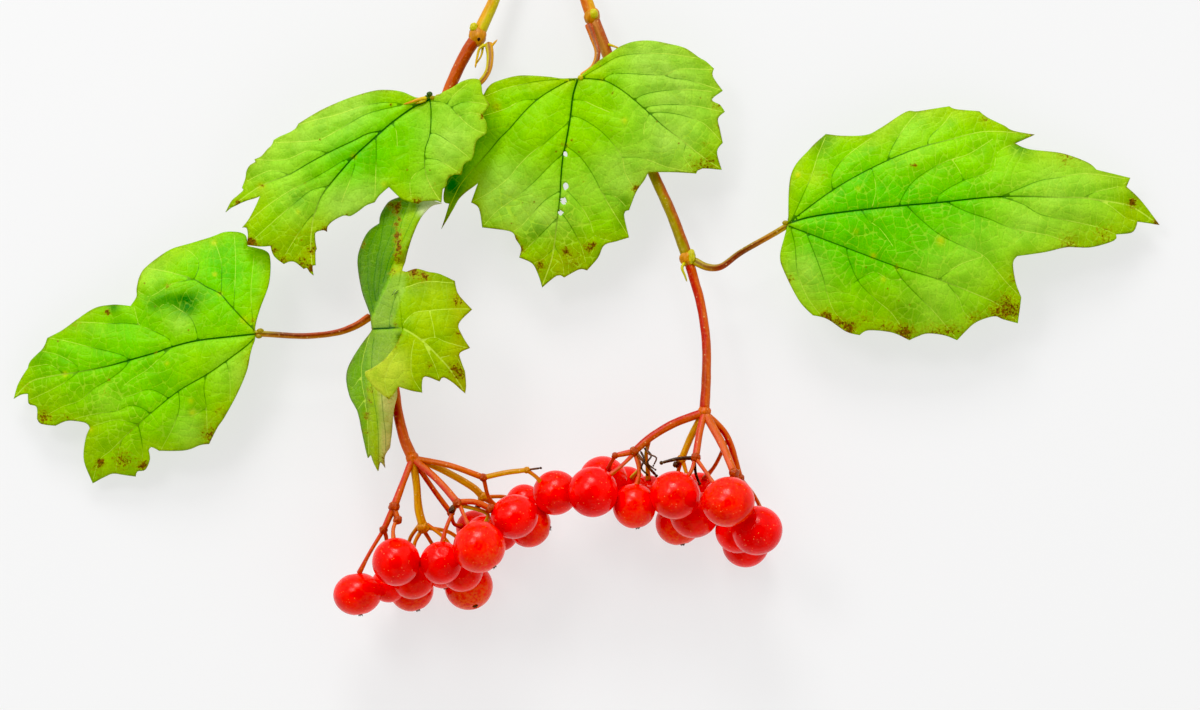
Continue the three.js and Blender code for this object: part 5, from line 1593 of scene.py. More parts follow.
@dataclass(frozen=True)
class Stalk:
    """One stalk: a smooth line with radii and tones spread evenly along it."""

    points: Sequence[Point]
    radii: Sequence[float]
    tones: Sequence[Tone]
    flush: Tone | None = None  # a second tone on one side
    flush_turn: float = 0.0  # where round the stalk that side is, degrees
    groove: float = 0.0  # share of the radius that a groove along the top takes
    uneven: float = 0.05
    sides: int = 20
    pace: float = 0.45  # mm between rings
    cut_start: bool = False

    @staticmethod
    def between(t: np.ndarray, low: float, high: float, first: np.ndarray, last: np.ndarray) -> np.ndarray:
        """Runs straight from first, where t is low, to last, where t is high."""
        return (high - t) / (high - low) * first + (t - low) / (high - low) * last

    def centre_line(self) -> np.ndarray:
        """Runs a centripetal curve through the points.

        Returns:
            Points at even steps along it.
        """
        knots = np.array(self.points, float)
        ends = np.vstack([2 * knots[0] - knots[1], knots, 2 * knots[-1] - knots[-2]])
        dense = []
        for four in zip(ends, ends[1:], ends[2:], ends[3:]):
            at = [0.0]
            for a, b in zip(four, four[1:]):
                at.append(at[-1] + max(float(np.linalg.norm(b - a)), 1e-6) ** 0.5)
            t = np.linspace(at[1], at[2], 24, endpoint=False)[:, None]
            three = [self.between(t, at[i], at[i + 1], four[i], four[i + 1]) for i in range(3)]
            two = [self.between(t, at[i], at[i + 2], three[i], three[i + 1]) for i in range(2)]
            dense.append(self.between(t, at[1], at[2], *two))
        line = np.vstack([*dense, knots[-1:]])
        run = np.concatenate([[0.0], np.cumsum(np.linalg.norm(np.diff(line, axis=0), axis=1))])
        steps = max(6, round(run[-1] / (self.pace * 1)))
        places = np.linspace(0, run[-1], steps + 1)
        return np.stack([np.interp(places, run, line[:, k]) for k in range(3)], 1)

    def add_to(self, bm: bmesh.types.BMesh, seed: int) -> None:
        """Adds the stalk to a bmesh: a grid is rolled round its line and closed at both ends.

        Args:
            bm: the bmesh, with its "skin" map and "tint" layer made.
            seed: picks its unevenness.
        """
        line = self.centre_line()
        count = len(line)
        along = np.gradient(line, axis=0)
        along /= np.linalg.norm(along, axis=1)[:, None]
        run = np.concatenate([[0.0], np.cumsum(np.linalg.norm(np.diff(line, axis=0), axis=1))])
        # "up" stays as near to straight up as the line allows, so a groove stays on top.
        side = np.cross(along, [0.0, 0.0, 1.0])
        weak = np.linalg.norm(side, axis=1) < 0.05
        side[weak] = np.cross(along[weak], [0.0, 1.0, 0.0])
        side /= np.linalg.norm(side, axis=1)[:, None]
        up = np.cross(side, along)

        made = bmesh.ops.create_grid(bm, x_segments=self.sides, y_segments=count - 1, size=0.5)
        verts = made["verts"]
        flat = np.array([v.co[:2] for v in verts]) + 0.5
        turn = flat[:, 0] * 2 * math.pi
        place = flat[:, 1] * (count - 1)
        ring = np.clip(np.round(place).astype(int), 0, count - 1)
        share = flat[:, 1]
        radius = np.interp(share, np.linspace(0, 1, len(self.radii)), self.radii)
        mean = float(np.mean(self.radii))
        from_end = np.minimum(run[ring] + (1e9 if self.cut_start else 0), run[-1] - run[ring])
        cap = np.sqrt(np.clip(1 - (1 - np.clip(from_end / mean, 0, 1)) ** 2, 0, 1))
        lumps = rough_field(
            np.stack([np.cos(turn) * mean * 1.4, np.sin(turn) * mean * 1.4, run[ring] * 0.6], 1), 1.3, seed
        )
        radius = radius * (1 + self.uneven * lumps)
        off_top = np.abs((turn - math.pi / 2 + math.pi) % (2 * math.pi) - math.pi)
        furrow = np.exp(-((off_top / 0.45) ** 2))
        radius = radius * (1 - self.groove * furrow) * cap
        out = side[ring] * np.cos(turn)[:, None] + up[ring] * np.sin(turn)[:, None]
        where = line[ring] + out * radius[:, None]
        where[:, 2] = np.maximum(where[:, 2], 0.0)
        placed = in_part(where)

        tones = np.array([linear(tone.value) for tone in self.tones])
        colour = np.stack([np.interp(share, np.linspace(0, 1, len(tones)), tones[:, k]) for k in range(4)], 1)
        if self.flush is not None:
            facing = np.cos(turn - math.radians(self.flush_turn) - math.pi / 2)
            colour = painted(colour, self.flush.value, smooth(facing + 0.5 * lumps, -0.1, 0.8) * 0.85)
        if self.groove:
            colour = painted(colour, "#5e1f10", furrow * 0.8)
        skin = bm.loops.layers.uv["skin"]
        tint = bm.verts.layers.float_color["tint"]
        around = turn * mean
        spots = {v: (around[i], run[ring[i]]) for i, v in enumerate(verts)}
        for face in {f for v in verts for f in v.link_faces}:
            for loop in face.loops:
                loop[skin].uv = spots[loop.vert]
        for i, vert in enumerate(verts):
            vert.co = placed[i]
            vert[tint] = tuple(colour[i])
        bmesh.ops.remove_doubles(bm, verts=verts, dist=0.002 * MM)


@dataclass(frozen=True)
class Knot:
    """A swollen joint, a bud or a gland: a small lumpy ball."""

    centre: Point
    radii: Point
    tone: Tone
    uneven: float = 0.12

    def add_to(self, bm: bmesh.types.BMesh, seed: int) -> None:
        """Adds the knot to a bmesh with the "tint" layer.

        Args:
            bm: the bmesh.
            seed: picks its lumps.
        """
        verts = bmesh.ops.create_icosphere(bm, subdivisions=4, radius=1.0)["verts"]
        ball = np.array([v.co[:] for v in verts])
        lumps = rough_field(ball * 2.0, 1.0, seed)
        where = ball * np.array(self.radii) * (1 + self.uneven * lumps)[:, None] + np.array(self.centre)
        where[:, 2] = np.maximum(where[:, 2], 0.0)
        placed = in_part(where)
        tint = bm.verts.layers.float_color["tint"]
        skin = bm.loops.layers.uv["skin"]
        base = np.array(linear(self.tone.value))
        for i, vert in enumerate(verts):
            vert.co = placed[i]
            vert[tint] = tuple(base * (1 + 0.25 * lumps[i]))
            for loop in vert.link_loops:
                loop[skin].uv = (ball[i][0] * 2 + seed, ball[i][1] * 2)


def stalk_mesh(parts: Iterable[Stalk | Knot], seed: int) -> bmesh.types.BMesh:
    """Gathers stalks and knots in one bmesh.

    Args:
        parts: the stalks and knots.
        seed: picks their unevenness.

    Returns:
        The bmesh, with outward faces.
    """
    bm = bmesh.new()
    bm.loops.layers.uv.new("skin")
    bm.verts.layers.float_color.new("tint")
    for number, part in enumerate(parts):
        part.add_to(bm, seed + number)
    bmesh.ops.recalc_face_normals(bm, faces=bm.faces)
    return bm


WOOD_R = 2.4
FORK = (-12, 97, 2.7)
NODE_LEFT = (-24.6, 64, 8)
NODE_LEFT_END = (-43.4, 8, 11)
NODE_RIGHT = (-1.6, 68, 7.5)
NODE_RIGHT_END = (17.6, 19.4, 10)
HUB_LEFT = (-37.4, -20.6, 14.5)
HUB_RIGHT = (20.8, -11.4, 15)


@dataclass
class WoodyStem:
    """The short length of last year's wood, cut across, that carries both shoots."""

    seat: float = 0.15

    def build(self) -> None:
        """Builds the bark and the cut face."""
        x, y, z = FORK
        low = WOOD_R - self.seat
        cut, bend = (x + 1, y + 11.9, low), (x + 0.6, y + 6, low)
        radii = (WOOD_R * 0.98, WOOD_R * 0.94, WOOD_R * 1.06)
        brown = (Tone.BROWN, Tone.BROWN)
        parts = [
            Stalk((cut, bend, FORK), radii, brown, uneven=0.06, sides=40, pace=0.25, cut_start=True),
            Stalk((FORK, (x - 1.6, y - 3.4, z + 0.6)), (WOOD_R, 1.75), brown, uneven=0.08, sides=32, pace=0.25),
            Stalk((FORK, (x + 1.6, y - 3.4, z + 0.6)), (WOOD_R, 1.75), brown, uneven=0.08, sides=32, pace=0.25),
            Knot((x, y - 0.6, z + 0.2), (2.8, 2.3, 2.4), Tone.BROWN, 0.06),
        ]
        finish_piece(stalk_mesh(parts, 300), "stem_bark", [BarkFinish().material()], "woody_stem")
        bm = bmesh.new()
        bmesh.ops.create_circle(bm, cap_ends=True, cap_tris=True, segments=48, radius=WOOD_R * 0.975)
        bmesh.ops.subdivide_edges(bm, edges=bm.edges[:], cuts=6, use_grid_fill=True)
        direction = Vector((cut[0] - bend[0], cut[1] - bend[1], 0)).normalized()
        turn = Vector((0, 0, 1)).rotation_difference(direction).to_matrix()
        for vert in bm.verts:
            spot = np.array([vert.co.x, vert.co.y, 0.0])
            bulge = 0.05 * noise.noise(vert.co * 2.0)
            where = np.array(turn @ Vector(spot)) + np.array(cut) + np.array(direction) * (0.02 + bulge)
            where[2] = max(where[2], 0.12)
            vert.co = in_part(where[None, :])[0]
        bmesh.ops.solidify(bm, geom=bm.faces[:], thickness=0.1 * MM)
        bmesh.ops.recalc_face_normals(bm, faces=bm.faces)
        finish_piece(bm, "stem_cut_face", [CutWoodFinish(cut).material()], "woody_stem")


@dataclass
class Shoots:
    """This year's two shoots with their swollen joints, buds and stipules."""

    radius: float = 1.06
    thread: float = 0.25

    def left(self) -> list[Stalk | Knot]:
        """The left shoot, which ends where the far left and the folded leaf grow.

        Returns:
            Its lengths, joints, buds and stipules.
        """
        r, thread = self.radius, self.thread
        x, y, z = NODE_LEFT
        ex, ey, ez = NODE_LEFT_END
        foot = (FORK[0] - 1.5, FORK[1] - 3.1, FORK[2] + 0.55)
        return [
            Stalk(
                (foot, (-17, 83, 5.2), (-21.4, 71, 6.8), NODE_LEFT), (r * 1.35, r, r, r * 1.3),
                (Tone.BROWN, Tone.OCHRE, Tone.YELLOW), Tone.LIME, 60,
            ),
            Stalk(
                (
                    NODE_LEFT, (-27, 60.3, 8.2), (-30.3, 53.2, 8.6), (-34.6, 41, 9.2), (-37.8, 31, 9.6),
                    (-40, 25, 10), (-42.6, 13, 10.8), NODE_LEFT_END,
                ),
                (r * 1.2, r, r * 0.95, r * 0.9), (Tone.RUST, Tone.ORANGE, Tone.ORANGE, Tone.OCHRE, Tone.OCHRE),
                Tone.RUST, 70,
            ),
            Knot(NODE_LEFT, (1.8, 2.2, 1.7), Tone.OCHRE),
            Knot((x - 0.7, y + 1.7, z + 0.7), (0.85, 0.95, 0.85), Tone.LIME),
            Knot((x + 0.3, y - 0.6, z + 1.35), (0.4, 0.6, 0.35), Tone.DARK),
            Knot(NODE_LEFT_END, (1.7, 1.8, 1.5), Tone.OCHRE),
            Knot((ex - 0.8, ey + 0.6, ez + 0.7), (0.7, 0.7, 0.7), Tone.GREEN),
            Stalk(
                ((x + 1.2, y - 1.4, z + 1.0), (x + 0.8, y - 4.0, z + 2.0), (x - 0.4, y - 6.0, z + 2.4)),
                (thread * 1.2, thread * 0.5), (Tone.LIME, Tone.YELLOW), sides=10,
            ),
        ]

    def right(self) -> list[Stalk | Knot]:
        """The right shoot, which carries the middle and the right leaf.

        Returns:
            Its lengths, joints, buds and stipules.
        """
        r, thread = self.radius, self.thread
        x, y, z = NODE_RIGHT
        ex, ey, ez = NODE_RIGHT_END
        foot = (FORK[0] + 1.5, FORK[1] - 3.1, FORK[2] + 0.55)
        return [
            Stalk(
                (foot, (-6.8, 83, 5.2), (-3, 72, 6.8), NODE_RIGHT), (r * 1.35, r, r, r * 1.25),
                (Tone.BROWN, Tone.OCHRE, Tone.YELLOW), Tone.ORANGE, -50,
            ),
            Stalk(
                (NODE_RIGHT, (1, 61.6, 7.8), (6, 48, 8.2), (10.6, 36.6, 8.6), (14.2, 28.6, 9.2), NODE_RIGHT_END),
                (r * 1.2, r, r, r, r * 1.1), (Tone.TAN, Tone.OCHRE, Tone.GREEN, Tone.GREEN, Tone.GREEN), Tone.RUST,
                90,
            ),
            Knot(NODE_RIGHT, (1.6, 1.9, 1.6), Tone.OCHRE),
            Knot((x + 0.3, y + 0.4, z + 1.1), (0.9, 1.05, 0.85), Tone.LIME),
            Knot(NODE_RIGHT_END, (1.7, 1.8, 1.6), Tone.OCHRE),
            Knot((ex + 0.7, ey + 0.3, ez + 1), (0.85, 1.5, 0.85), Tone.LIME),
            Stalk(
                read_points("1.4,62.4,8.2 2.8,61.9,9.2 4,61.4,9.6"), (thread * 1.3, thread * 0.6),
                (Tone.LIME, Tone.YELLOW), sides=10,
            ),
            Stalk(
                read_points("17,18.6,11.2 16.4,17.4,12.2 17,15.8,12.4 17.4,14.6,12"), (thread * 1.5, thread * 0.6),
                (Tone.LIME, Tone.LIME), sides=10,
            ),
        ]

    def build(self, skin: bpy.types.Material) -> None:
        """Builds both shoots."""
        finish_piece(stalk_mesh(self.left(), 100), "left_shoot_skin", [skin], "shoot_left")
        finish_piece(stalk_mesh(self.right(), 140), "right_shoot_skin", [skin], "shoot_right")


@dataclass
class Petioles:
    """The five leaf stalks; all but the folded leaf's have a groove along the top and glands below the blade."""

    radius: float = 0.62
    thread: float = 0.25

    def stalks(self) -> dict[str, list[Stalk | Knot]]:
        """Each leaf stalk's parts, by leaf.

        Returns:
            The stalk, its stipules and its glands, under the leaf's name.
        """
        r = self.radius
        radii = (r * 1.35, r, r * 0.95, r)
        reach = self.thread
        return {
            "right": [
                Stalk(
                    read_points("18.6,19,10.5 21.4,17.6,11.4 24,17.6,11.8 28,20.4,12 35,24.4,12.2 38.8,26.7,12.35"),
                    radii, (Tone.LIME, Tone.RUST, Tone.BROWN, Tone.OCHRE, Tone.LIME), Tone.GREEN, 110, groove=0.2,
                ),
                Knot((37.1, 26.4, 12.6), (0.66, 0.5, 0.42), Tone.GREEN),
                Knot((37.6, 25.5, 12.6), (0.5, 0.42, 0.4), Tone.GLAND),
            ],
            "far_left": [
                Stalk(
                    read_points(
                        "-45.7,7.9,11.4 -48.6,6,11.7 -52.2,4.6,12 -58.8,3.8,12.4 -66.6,4.2,12.5 -70,4.4,12.4",
                    ),
                    radii, (Tone.ORANGE, Tone.RUST, Tone.RUST, Tone.BROWN, Tone.LIME), Tone.OCHRE, 80, groove=0.2,
                ),
                Knot((-67.9, 4.85, 12.7), (0.7, 0.5, 0.42), Tone.GREEN),
                Knot((-68.2, 3.75, 12.7), (0.66, 0.46, 0.42), Tone.GREEN),
            ],
            "upper_left": [
                Stalk(
                    read_points(
                        "-22.4,62.8,9.4 -22,60,10.6 -22.4,56.8,12.4 -24.2,54.2,14.6 -28.5,52,16.2 -33,51.2,17.2",
                    ),
                    radii, (Tone.YELLOW, Tone.OCHRE, Tone.YELLOW), Tone.LIME, -90, groove=0.25,
                ),
                Stalk(
                    read_points("-22.6,62.2,9.6 -24,61.6,10.2 -24.6,59.6,10.6 -25,57.4,10.8"),
                    (reach * 1.3, reach * 0.7), (Tone.LIME, Tone.YELLOW), sides=10,
                ),
                Stalk(
                    ((-22.2, 61.4, 10), (-20.5, 63.2, 10.6)), (reach * 1.4, reach * 0.5),
                    (Tone.YELLOW, Tone.YELLOW), sides=10,
                ),
                Knot((-33.9, 51.9, 18.6), (0.6, 0.5, 0.45), Tone.GLAND),
                Knot((-33.4, 51.2, 18.5), (0.5, 0.45, 0.4), Tone.GREEN),
                Knot((-34.5, 51.3, 18.8), (0.45, 0.4, 0.36), Tone.GLAND),
                Stalk(
                    read_points("-34.2,51.2,18.7 -36,50.8,19.3 -37.8,50.2,19.4 -39.2,49.8,19.2"),
                    (reach * 1.5, reach * 1.3, reach * 0.4), (Tone.LIME, Tone.YELLOW, Tone.OCHRE), sides=10,
                    uneven=0.25,
                ),
                Stalk(
                    read_points("-34.4,50.8,18.7 -35.6,50.3,19.2 -37,49.9,19.3"),
                    (reach * 1.4, reach * 1.1, reach * 0.4), (Tone.GREEN, Tone.LIME, Tone.BROWN), sides=10,
                    uneven=0.25,
                ),
            ],
            "middle": [
                Stalk(
                    read_points("-2.4,66.6,9.1 -1.4,63.6,10.2 -0.5,60.4,11.8 -1.3,57.6,13 -3.9,55.5,14.2"), radii,
                    (Tone.ORANGE, Tone.OCHRE, Tone.YELLOW), Tone.RUST, 90, groove=0.2,
                ),
                Knot((-3.9, 55.4, 15.1), (0.55, 0.5, 0.4), Tone.LIME),
            ],
            "folded": [
                Stalk(read_points("-43.8,6.8,12.7 -44.6,5.8,14.4 -45.4,5,15.4"), radii, (Tone.ORANGE, Tone.RUST)),
            ],
        }

    def build(self, skin: bpy.types.Material) -> None:
        """Builds the five leaf stalks.

        Args:
            skin: the stalks' finish.
        """
        for number, (name, parts) in enumerate(self.stalks().items()):
            stalk = stalk_mesh(parts, 200 + 10 * number)
            finish_piece(stalk, f"{name}_leaf_stalk", [skin], f"petiole_{name}")


@dataclass(frozen=True)
class Berry:
    """One berry: its centre and radius, mm, and its length over its width."""

    x: float
    y: float
    z: float
    radius: float
    stretch: float = 0.97
    far: Point | None = None  # where its far end points, if that isn't straight away from its stalk
    mottle: float = 0.3  # how strongly its skin is still mottled orange

    @property
    def centre(self) -> Vector:
        """The berry's centre."""
        return Vector((self.x, self.y, self.z))

    def axis(self, stalk_end: Point) -> Vector:
        """The direction from the stalk to the far end."""
        away = Vector(self.far) if self.far else self.centre - Vector(stalk_end)
        return away.normalized()


@dataclass
class Bunch:
    """One bunch: a stalk, its parting rays, the berries' own stalks, and the berries."""

    name: str
    peduncle: Sequence[Point]
    peduncle_tones: Sequence[Tone]
    rays: Sequence[tuple[float, float, Tone, Sequence[Point]]]
    stubs: Sequence[tuple[float, float, Tone, Sequence[Point]]]
    pedicels: Sequence[tuple[Tone, Sequence[Point]]]
    berries: Sequence[Berry]
    seed: int = 1
    peduncle_radius: float = 1.0
    ray_radius: float = 0.62
    pedicel_radius: float = 0.38
    segments: int = 56

    @property
    def node(self) -> str:
        """The CAD node that the bunch stands for."""
        return f"bunch_{self.name}"

    def stalk_parts(self) -> list[Stalk | Knot]:
        """Every stalk of the bunch and its swollen partings.

        Returns:
            The stalks and the knots between them.
        """
        p, r = self.peduncle_radius, self.ray_radius
        parts: list[Stalk | Knot] = [
            Stalk(self.peduncle, (p * 1.1, p, p, p * 1.15), self.peduncle_tones, Tone.ORANGE, 75),
            Knot(self.peduncle[-1], (1.35, 1.4, 1.2), Tone.ORANGE),
        ]
        for start, end, tone, points in self.rays:
            flush = Tone.OCHRE if tone is Tone.YELLOW else Tone.ORANGE
            parts.append(Stalk(points, (r * start, r * start * 0.94, r * end), (tone, tone), flush, 60, sides=16))
            joint = Tone.OCHRE if tone is Tone.YELLOW else Tone.RUST
            parts.append(Knot(points[-1], (r * end * 1.35,) * 3, joint, 0.2))
        for start, end, tone, points in self.stubs:
            parts.append(Stalk(points, (r * start, r * end), (tone, Tone.DARK), sides=12, uneven=0.15))
            parts.append(Knot(points[-1], (r * end * 1.25,) * 3, Tone.DARK, 0.3))
        q = self.pedicel_radius
        for tone, points in self.pedicels:
            radii = (q * 1.15, q, q * 1.05, q * 1.5)
            parts.append(Stalk(points, radii, (tone, tone, tone), Tone.ORANGE, 60, sides=12, pace=0.35))
        return parts

    def build_berries(self, skin: bpy.types.Material, dry: bpy.types.Material) -> None:
        """Builds the berries and the dry remnants at their far ends.

        Args:
            skin: the berries' finish.
            dry: the remnants' finish.
        """
        rng = random.Random(self.seed)
        bm = bmesh.new()
        mottle = bm.verts.layers.float.new("mottle")
        remnants = bmesh.new()
        for berry, (_, points) in zip(self.berries, self.pedicels):
            axis = berry.axis(points[-1])
            spin = Matrix.Rotation(rng.uniform(0, 6.28), 3, "Z")
            turn = Vector((0, 0, 1)).rotation_difference(axis).to_matrix() @ spin
            across, along = berry.stretch ** (-1 / 3), berry.stretch ** (2 / 3)
            made = bmesh.ops.create_uvsphere(
                bm, u_segments=self.segments, v_segments=self.segments * 2 // 3, radius=1.0
            )
            verts = made["verts"]
            ball = np.array([v.co[:] for v in verts])
            polar = ball[:, 2]
            lumps = rough_field(ball * 1.1, 1.0, self.seed * 50 + rng.randrange(400))
            swell = 1 + 0.012 * lumps - 0.05 * smooth(polar, 0.965, 1.0) - 0.05 * smooth(-polar, 0.955, 1.0)
            shaped = ball * swell[:, None] * np.array([across, across, along])
            where = shaped @ np.array(turn.transposed()) * berry.radius * 0.99 + np.array(berry.centre)
            where[:, 2] = np.maximum(where[:, 2], 0.0)
            placed = in_part(where)
            spread = berry.mottle * (0.25 + 0.75 * smooth(polar + 0.4 * lumps, -0.1, 0.9))
            for i, vert in enumerate(verts):
                vert.co = placed[i]
                vert[mottle] = float(spread[i])
            self.add_remnant(remnants, berry.centre + axis * berry.radius * along * 0.945, turn, rng)
        bmesh.ops.recalc_face_normals(bm, faces=bm.faces)
        finish_piece(bm, f"{self.name}_berries", [skin], self.node)
        bmesh.ops.recalc_face_normals(remnants, faces=remnants.faces)
        finish_piece(remnants, f"{self.name}_flower_remnants", [dry], self.node)

    @staticmethod
    def add_remnant(bm: bmesh.types.BMesh, foot: Vector, turn: Matrix, rng: random.Random) -> None:
        """Adds the five dry teeth round the scar at a berry's far end.

        Args:
            bm: the bmesh that gathers the remnants.
            foot: the middle of the scar, mm.
            turn: the berry's own turn.
            rng: draws each tooth's size and lean.
        """
        for number in range(6):
            if number == 5:
                verts = bmesh.ops.create_uvsphere(bm, u_segments=12, v_segments=8, radius=1.0)["verts"]
                shape = Matrix.Diagonal((0.42, 0.42, 0.22)).to_3x3()
                lean, shift = Matrix.Identity(3), Vector((0, 0, 0.02))
            else:
                verts = bmesh.ops.create_cone(
                    bm, cap_ends=True, segments=8, radius1=0.24, radius2=0.03, depth=rng.uniform(0.45, 0.7)
                )["verts"]
                shape = Matrix.Diagonal((1.0, 0.45, 1.0)).to_3x3()
                angle = number * 2 * math.pi / 5
                lean = Matrix.Rotation(angle, 3, "Z") @ Matrix.Rotation(rng.uniform(-0.2, 0.5), 3, "X")
                shift = Matrix.Rotation(angle, 3, "Z") @ Vector((0, 0.4, 0.16))
            for vert in verts:
                local = turn @ (lean @ (shape @ vert.co) + shift)
                where = np.array(foot + local)
                where[2] = max(where[2], 0.0)
                vert.co = in_part(where[None, :])[0]

    def build(self, skin: bpy.types.Material, berry: bpy.types.Material, dry: bpy.types.Material) -> None:
        """Builds the whole bunch.

        Args:
            skin: the stalks' finish.
            berry: the berries' finish.
            dry: the finish of the dry flower parts.
        """
        stalks = stalk_mesh(self.stalk_parts(), self.seed * 60)
        finish_piece(stalks, f"{self.name}_bunch_stalks", [skin], self.node)
        self.build_berries(berry, dry)


def read_pedicels(text: str) -> list[tuple[Tone, Line]]:
    """Reads the berries' own stalks, with a semicolon between them: each one's tone and its points."""
    rows = (part.split(maxsplit=1) for part in text.split(";"))
    return [(Tone[tone], read_points(points)) for tone, points in rows]


LEFT_BUNCH = Bunch(
    name="left",
    seed=4,
    peduncle=(
        (-43.1, 6.8, 11.3), (-42.4, 1, 11.6), (-41.2, -6, 12), (-40.4, -11.4, 12.6), (-39, -17, 13.6), HUB_LEFT,
    ),
    peduncle_tones=(Tone.ORANGE, Tone.ORANGE, Tone.RED, Tone.ORANGE),
    rays=(
        (1.1, 1.3, Tone.PINK, (HUB_LEFT, (-39, -24.8, 16.4), (-41, -30.2, 17.4))),
        (1.1, 1.0, Tone.PINK, ((-41, -30.2, 17.4), (-43.1, -34.8, 16.6))),
        (1.0, 1.1, Tone.RUST, ((-41, -30.2, 17.4), (-40.3, -32.8, 18))),
        (1.3, 1.5, Tone.YELLOW, (HUB_LEFT, (-36.6, -26, 14.4), (-36.2, -30.8, 14.3), (-35.3, -34.4, 14.4))),
        (0.9, 0.9, Tone.RED, (HUB_LEFT, (-33.6, -26.4, 13.4), (-29.8, -31.6, 12.8))),
        (1.2, 1.2, Tone.PINK, (HUB_LEFT, (-32.2, -25, 18), (-28.2, -29.4, 21.2))),
        (1.0, 1.1, Tone.PINK, ((-28.2, -29.2, 21.2), (-24.8, -29.2, 21), (-21.8, -30.5, 20.7))),
        (1.2, 1.2, Tone.YELLOW, (HUB_LEFT, (-33.4, -22, 13.8), (-25.2, -26.6, 12.8), (-23.4, -28.4, 12.4))),
        (1.0, 1.0, Tone.ORANGE, (HUB_LEFT, (-30, -22, 16.6), (-23.2, -24.4, 17.2))),
        (0.9, 0.8, Tone.YELLOW, ((-23.2, -24.4, 17.2), (-18.6, -23.4, 17.4), (-14.6, -22.9, 17.2))),
    ),
    stubs=(
        (1.1, 0.8, Tone.BROWN, ((-29, -30, 21), (-29.4, -30.8, 22))),
        (1.0, 0.8, Tone.BROWN, ((-24, -28.8, 12.4), (-24.5, -30.6, 12.4))),
        (0.35, 0.3, Tone.BROWN, ((-14.8, -22.9, 17.2), (-11.8, -22.5, 17.6))),
    ),
    pedicels=read_pedicels("""
        PINK -43.1,-34.8,16.6 -46,-39.6,16.4 -48.2,-43.8,15;
        ORANGE -40.4,-32.6,17.9 -41.1,-34.6,19 -41,-37,20.2;
        OCHRE -35.8,-35.2,14.4 -37,-37.6,14.6 -37.3,-40.6,13.8;
        RUST -43,-34.8,16.5 -42.6,-36.6,15.6 -42.8,-40.6,13 -42.8,-43.6,10.8;
        OCHRE -35.8,-33.6,14.2 -38,-36.8,12.4 -38,-40.6,8.4 -36.5,-44.6,5.8;
        PINK -28.6,-29.8,21.2 -30.6,-34.6,22.2 -31.4,-38,22.4;
        YELLOW -34.8,-33.6,14.4 -31.2,-36.4,14.8 -28.8,-39.8,14.8;
        OCHRE -35.2,-35,14.2 -33.8,-37.4,12.4 -32,-40.4,9.6;
        YELLOW -35,-34.4,14.2 -30.2,-35.4,13 -27.6,-37.8,10.6 -26.4,-41.4,8 -26.4,-43.6,6.8;
        PINK -27.8,-29.8,21.4 -26.4,-33,24 -25.2,-35,25.4;
        PINK -21.8,-30.5,20.7 -20,-31.6,20.4;
        ORANGE -23.2,-24.6,17 -21.8,-29,14.6 -17,-32.4,13.2;
        YELLOW -14.6,-22.9,17.2 -12.8,-24.2,16.8 -11.5,-25.6,16;
        OCHRE -23.2,-28.4,12.4 -19.4,-28.4,9.8 -17.2,-29.2,7.4;
        RED -29.8,-31.6,12.8 -29.2,-33.8,11 -27.6,-34.4,9;
        LIME -27.6,-29.8,21 -22.4,-31.6,18.8 -22.9,-34,16;
        OCHRE -23.4,-28.6,12.2 -20.8,-30.6,9.2 -20.2,-33.8,5.2
    """),
    berries=(
        Berry(-48.4, -47.7, 14.5, 4.7, 0.87, (0.14, -0.99, 0.02), 0.3),
        Berry(-40.4, -41, 22.2, 4.85, 1.0, (0, -0.8, -0.6), 0.1),
        Berry(-37.3, -44.4, 14.4, 4.4, 0.97, (0.1, -0.8, -0.6), 0.5),
        Berry(-42.3, -46.1, 9.8, 3.6, 0.97, (0, -0.9, -0.4)),
        Berry(-37.9, -47.3, 4.3, 4.45, 0.97, (0.3, -0.95, 0), 0.7),
        Berry(-31.5, -41.2, 22, 4.3, 1.0, (-0.1, -0.6, -0.79), 0.1),
        Berry(-27.5, -43.2, 15.4, 4.1, 0.97, (0.2, -0.8, -0.6), 0.4),
        Berry(-31.5, -43.5, 9.3, 3.4),
        Berry(-26.4, -46.6, 4.7, 4.85, 0.97, (0.3, -0.85, 0.44), 1.0),
        Berry(-23.9, -37.9, 26.6, 5.25, 0.98, (0.6, -0.78, 0.04), 0.55),
        Berry(-17, -32.1, 20.1, 4.65, 0.9, (0.2, -0.9, -0.4), 0.1),
        Berry(-14.2, -34, 11.8, 4.5, 0.97, (0.98, -0.15, 0), 0.6),
        Berry(-8.9, -27.5, 14.2, 4.55, 0.97, (0.3, -0.75, -0.6), 0.25),
        Berry(-15.3, -29.8, 4.9, 3.8),
        Berry(-25.4, -34.8, 6.9, 3.6),
        Berry(-23.2, -35.6, 13.3, 3.6),
        Berry(-20.1, -36, 3.45, 3.6),
    ),
)

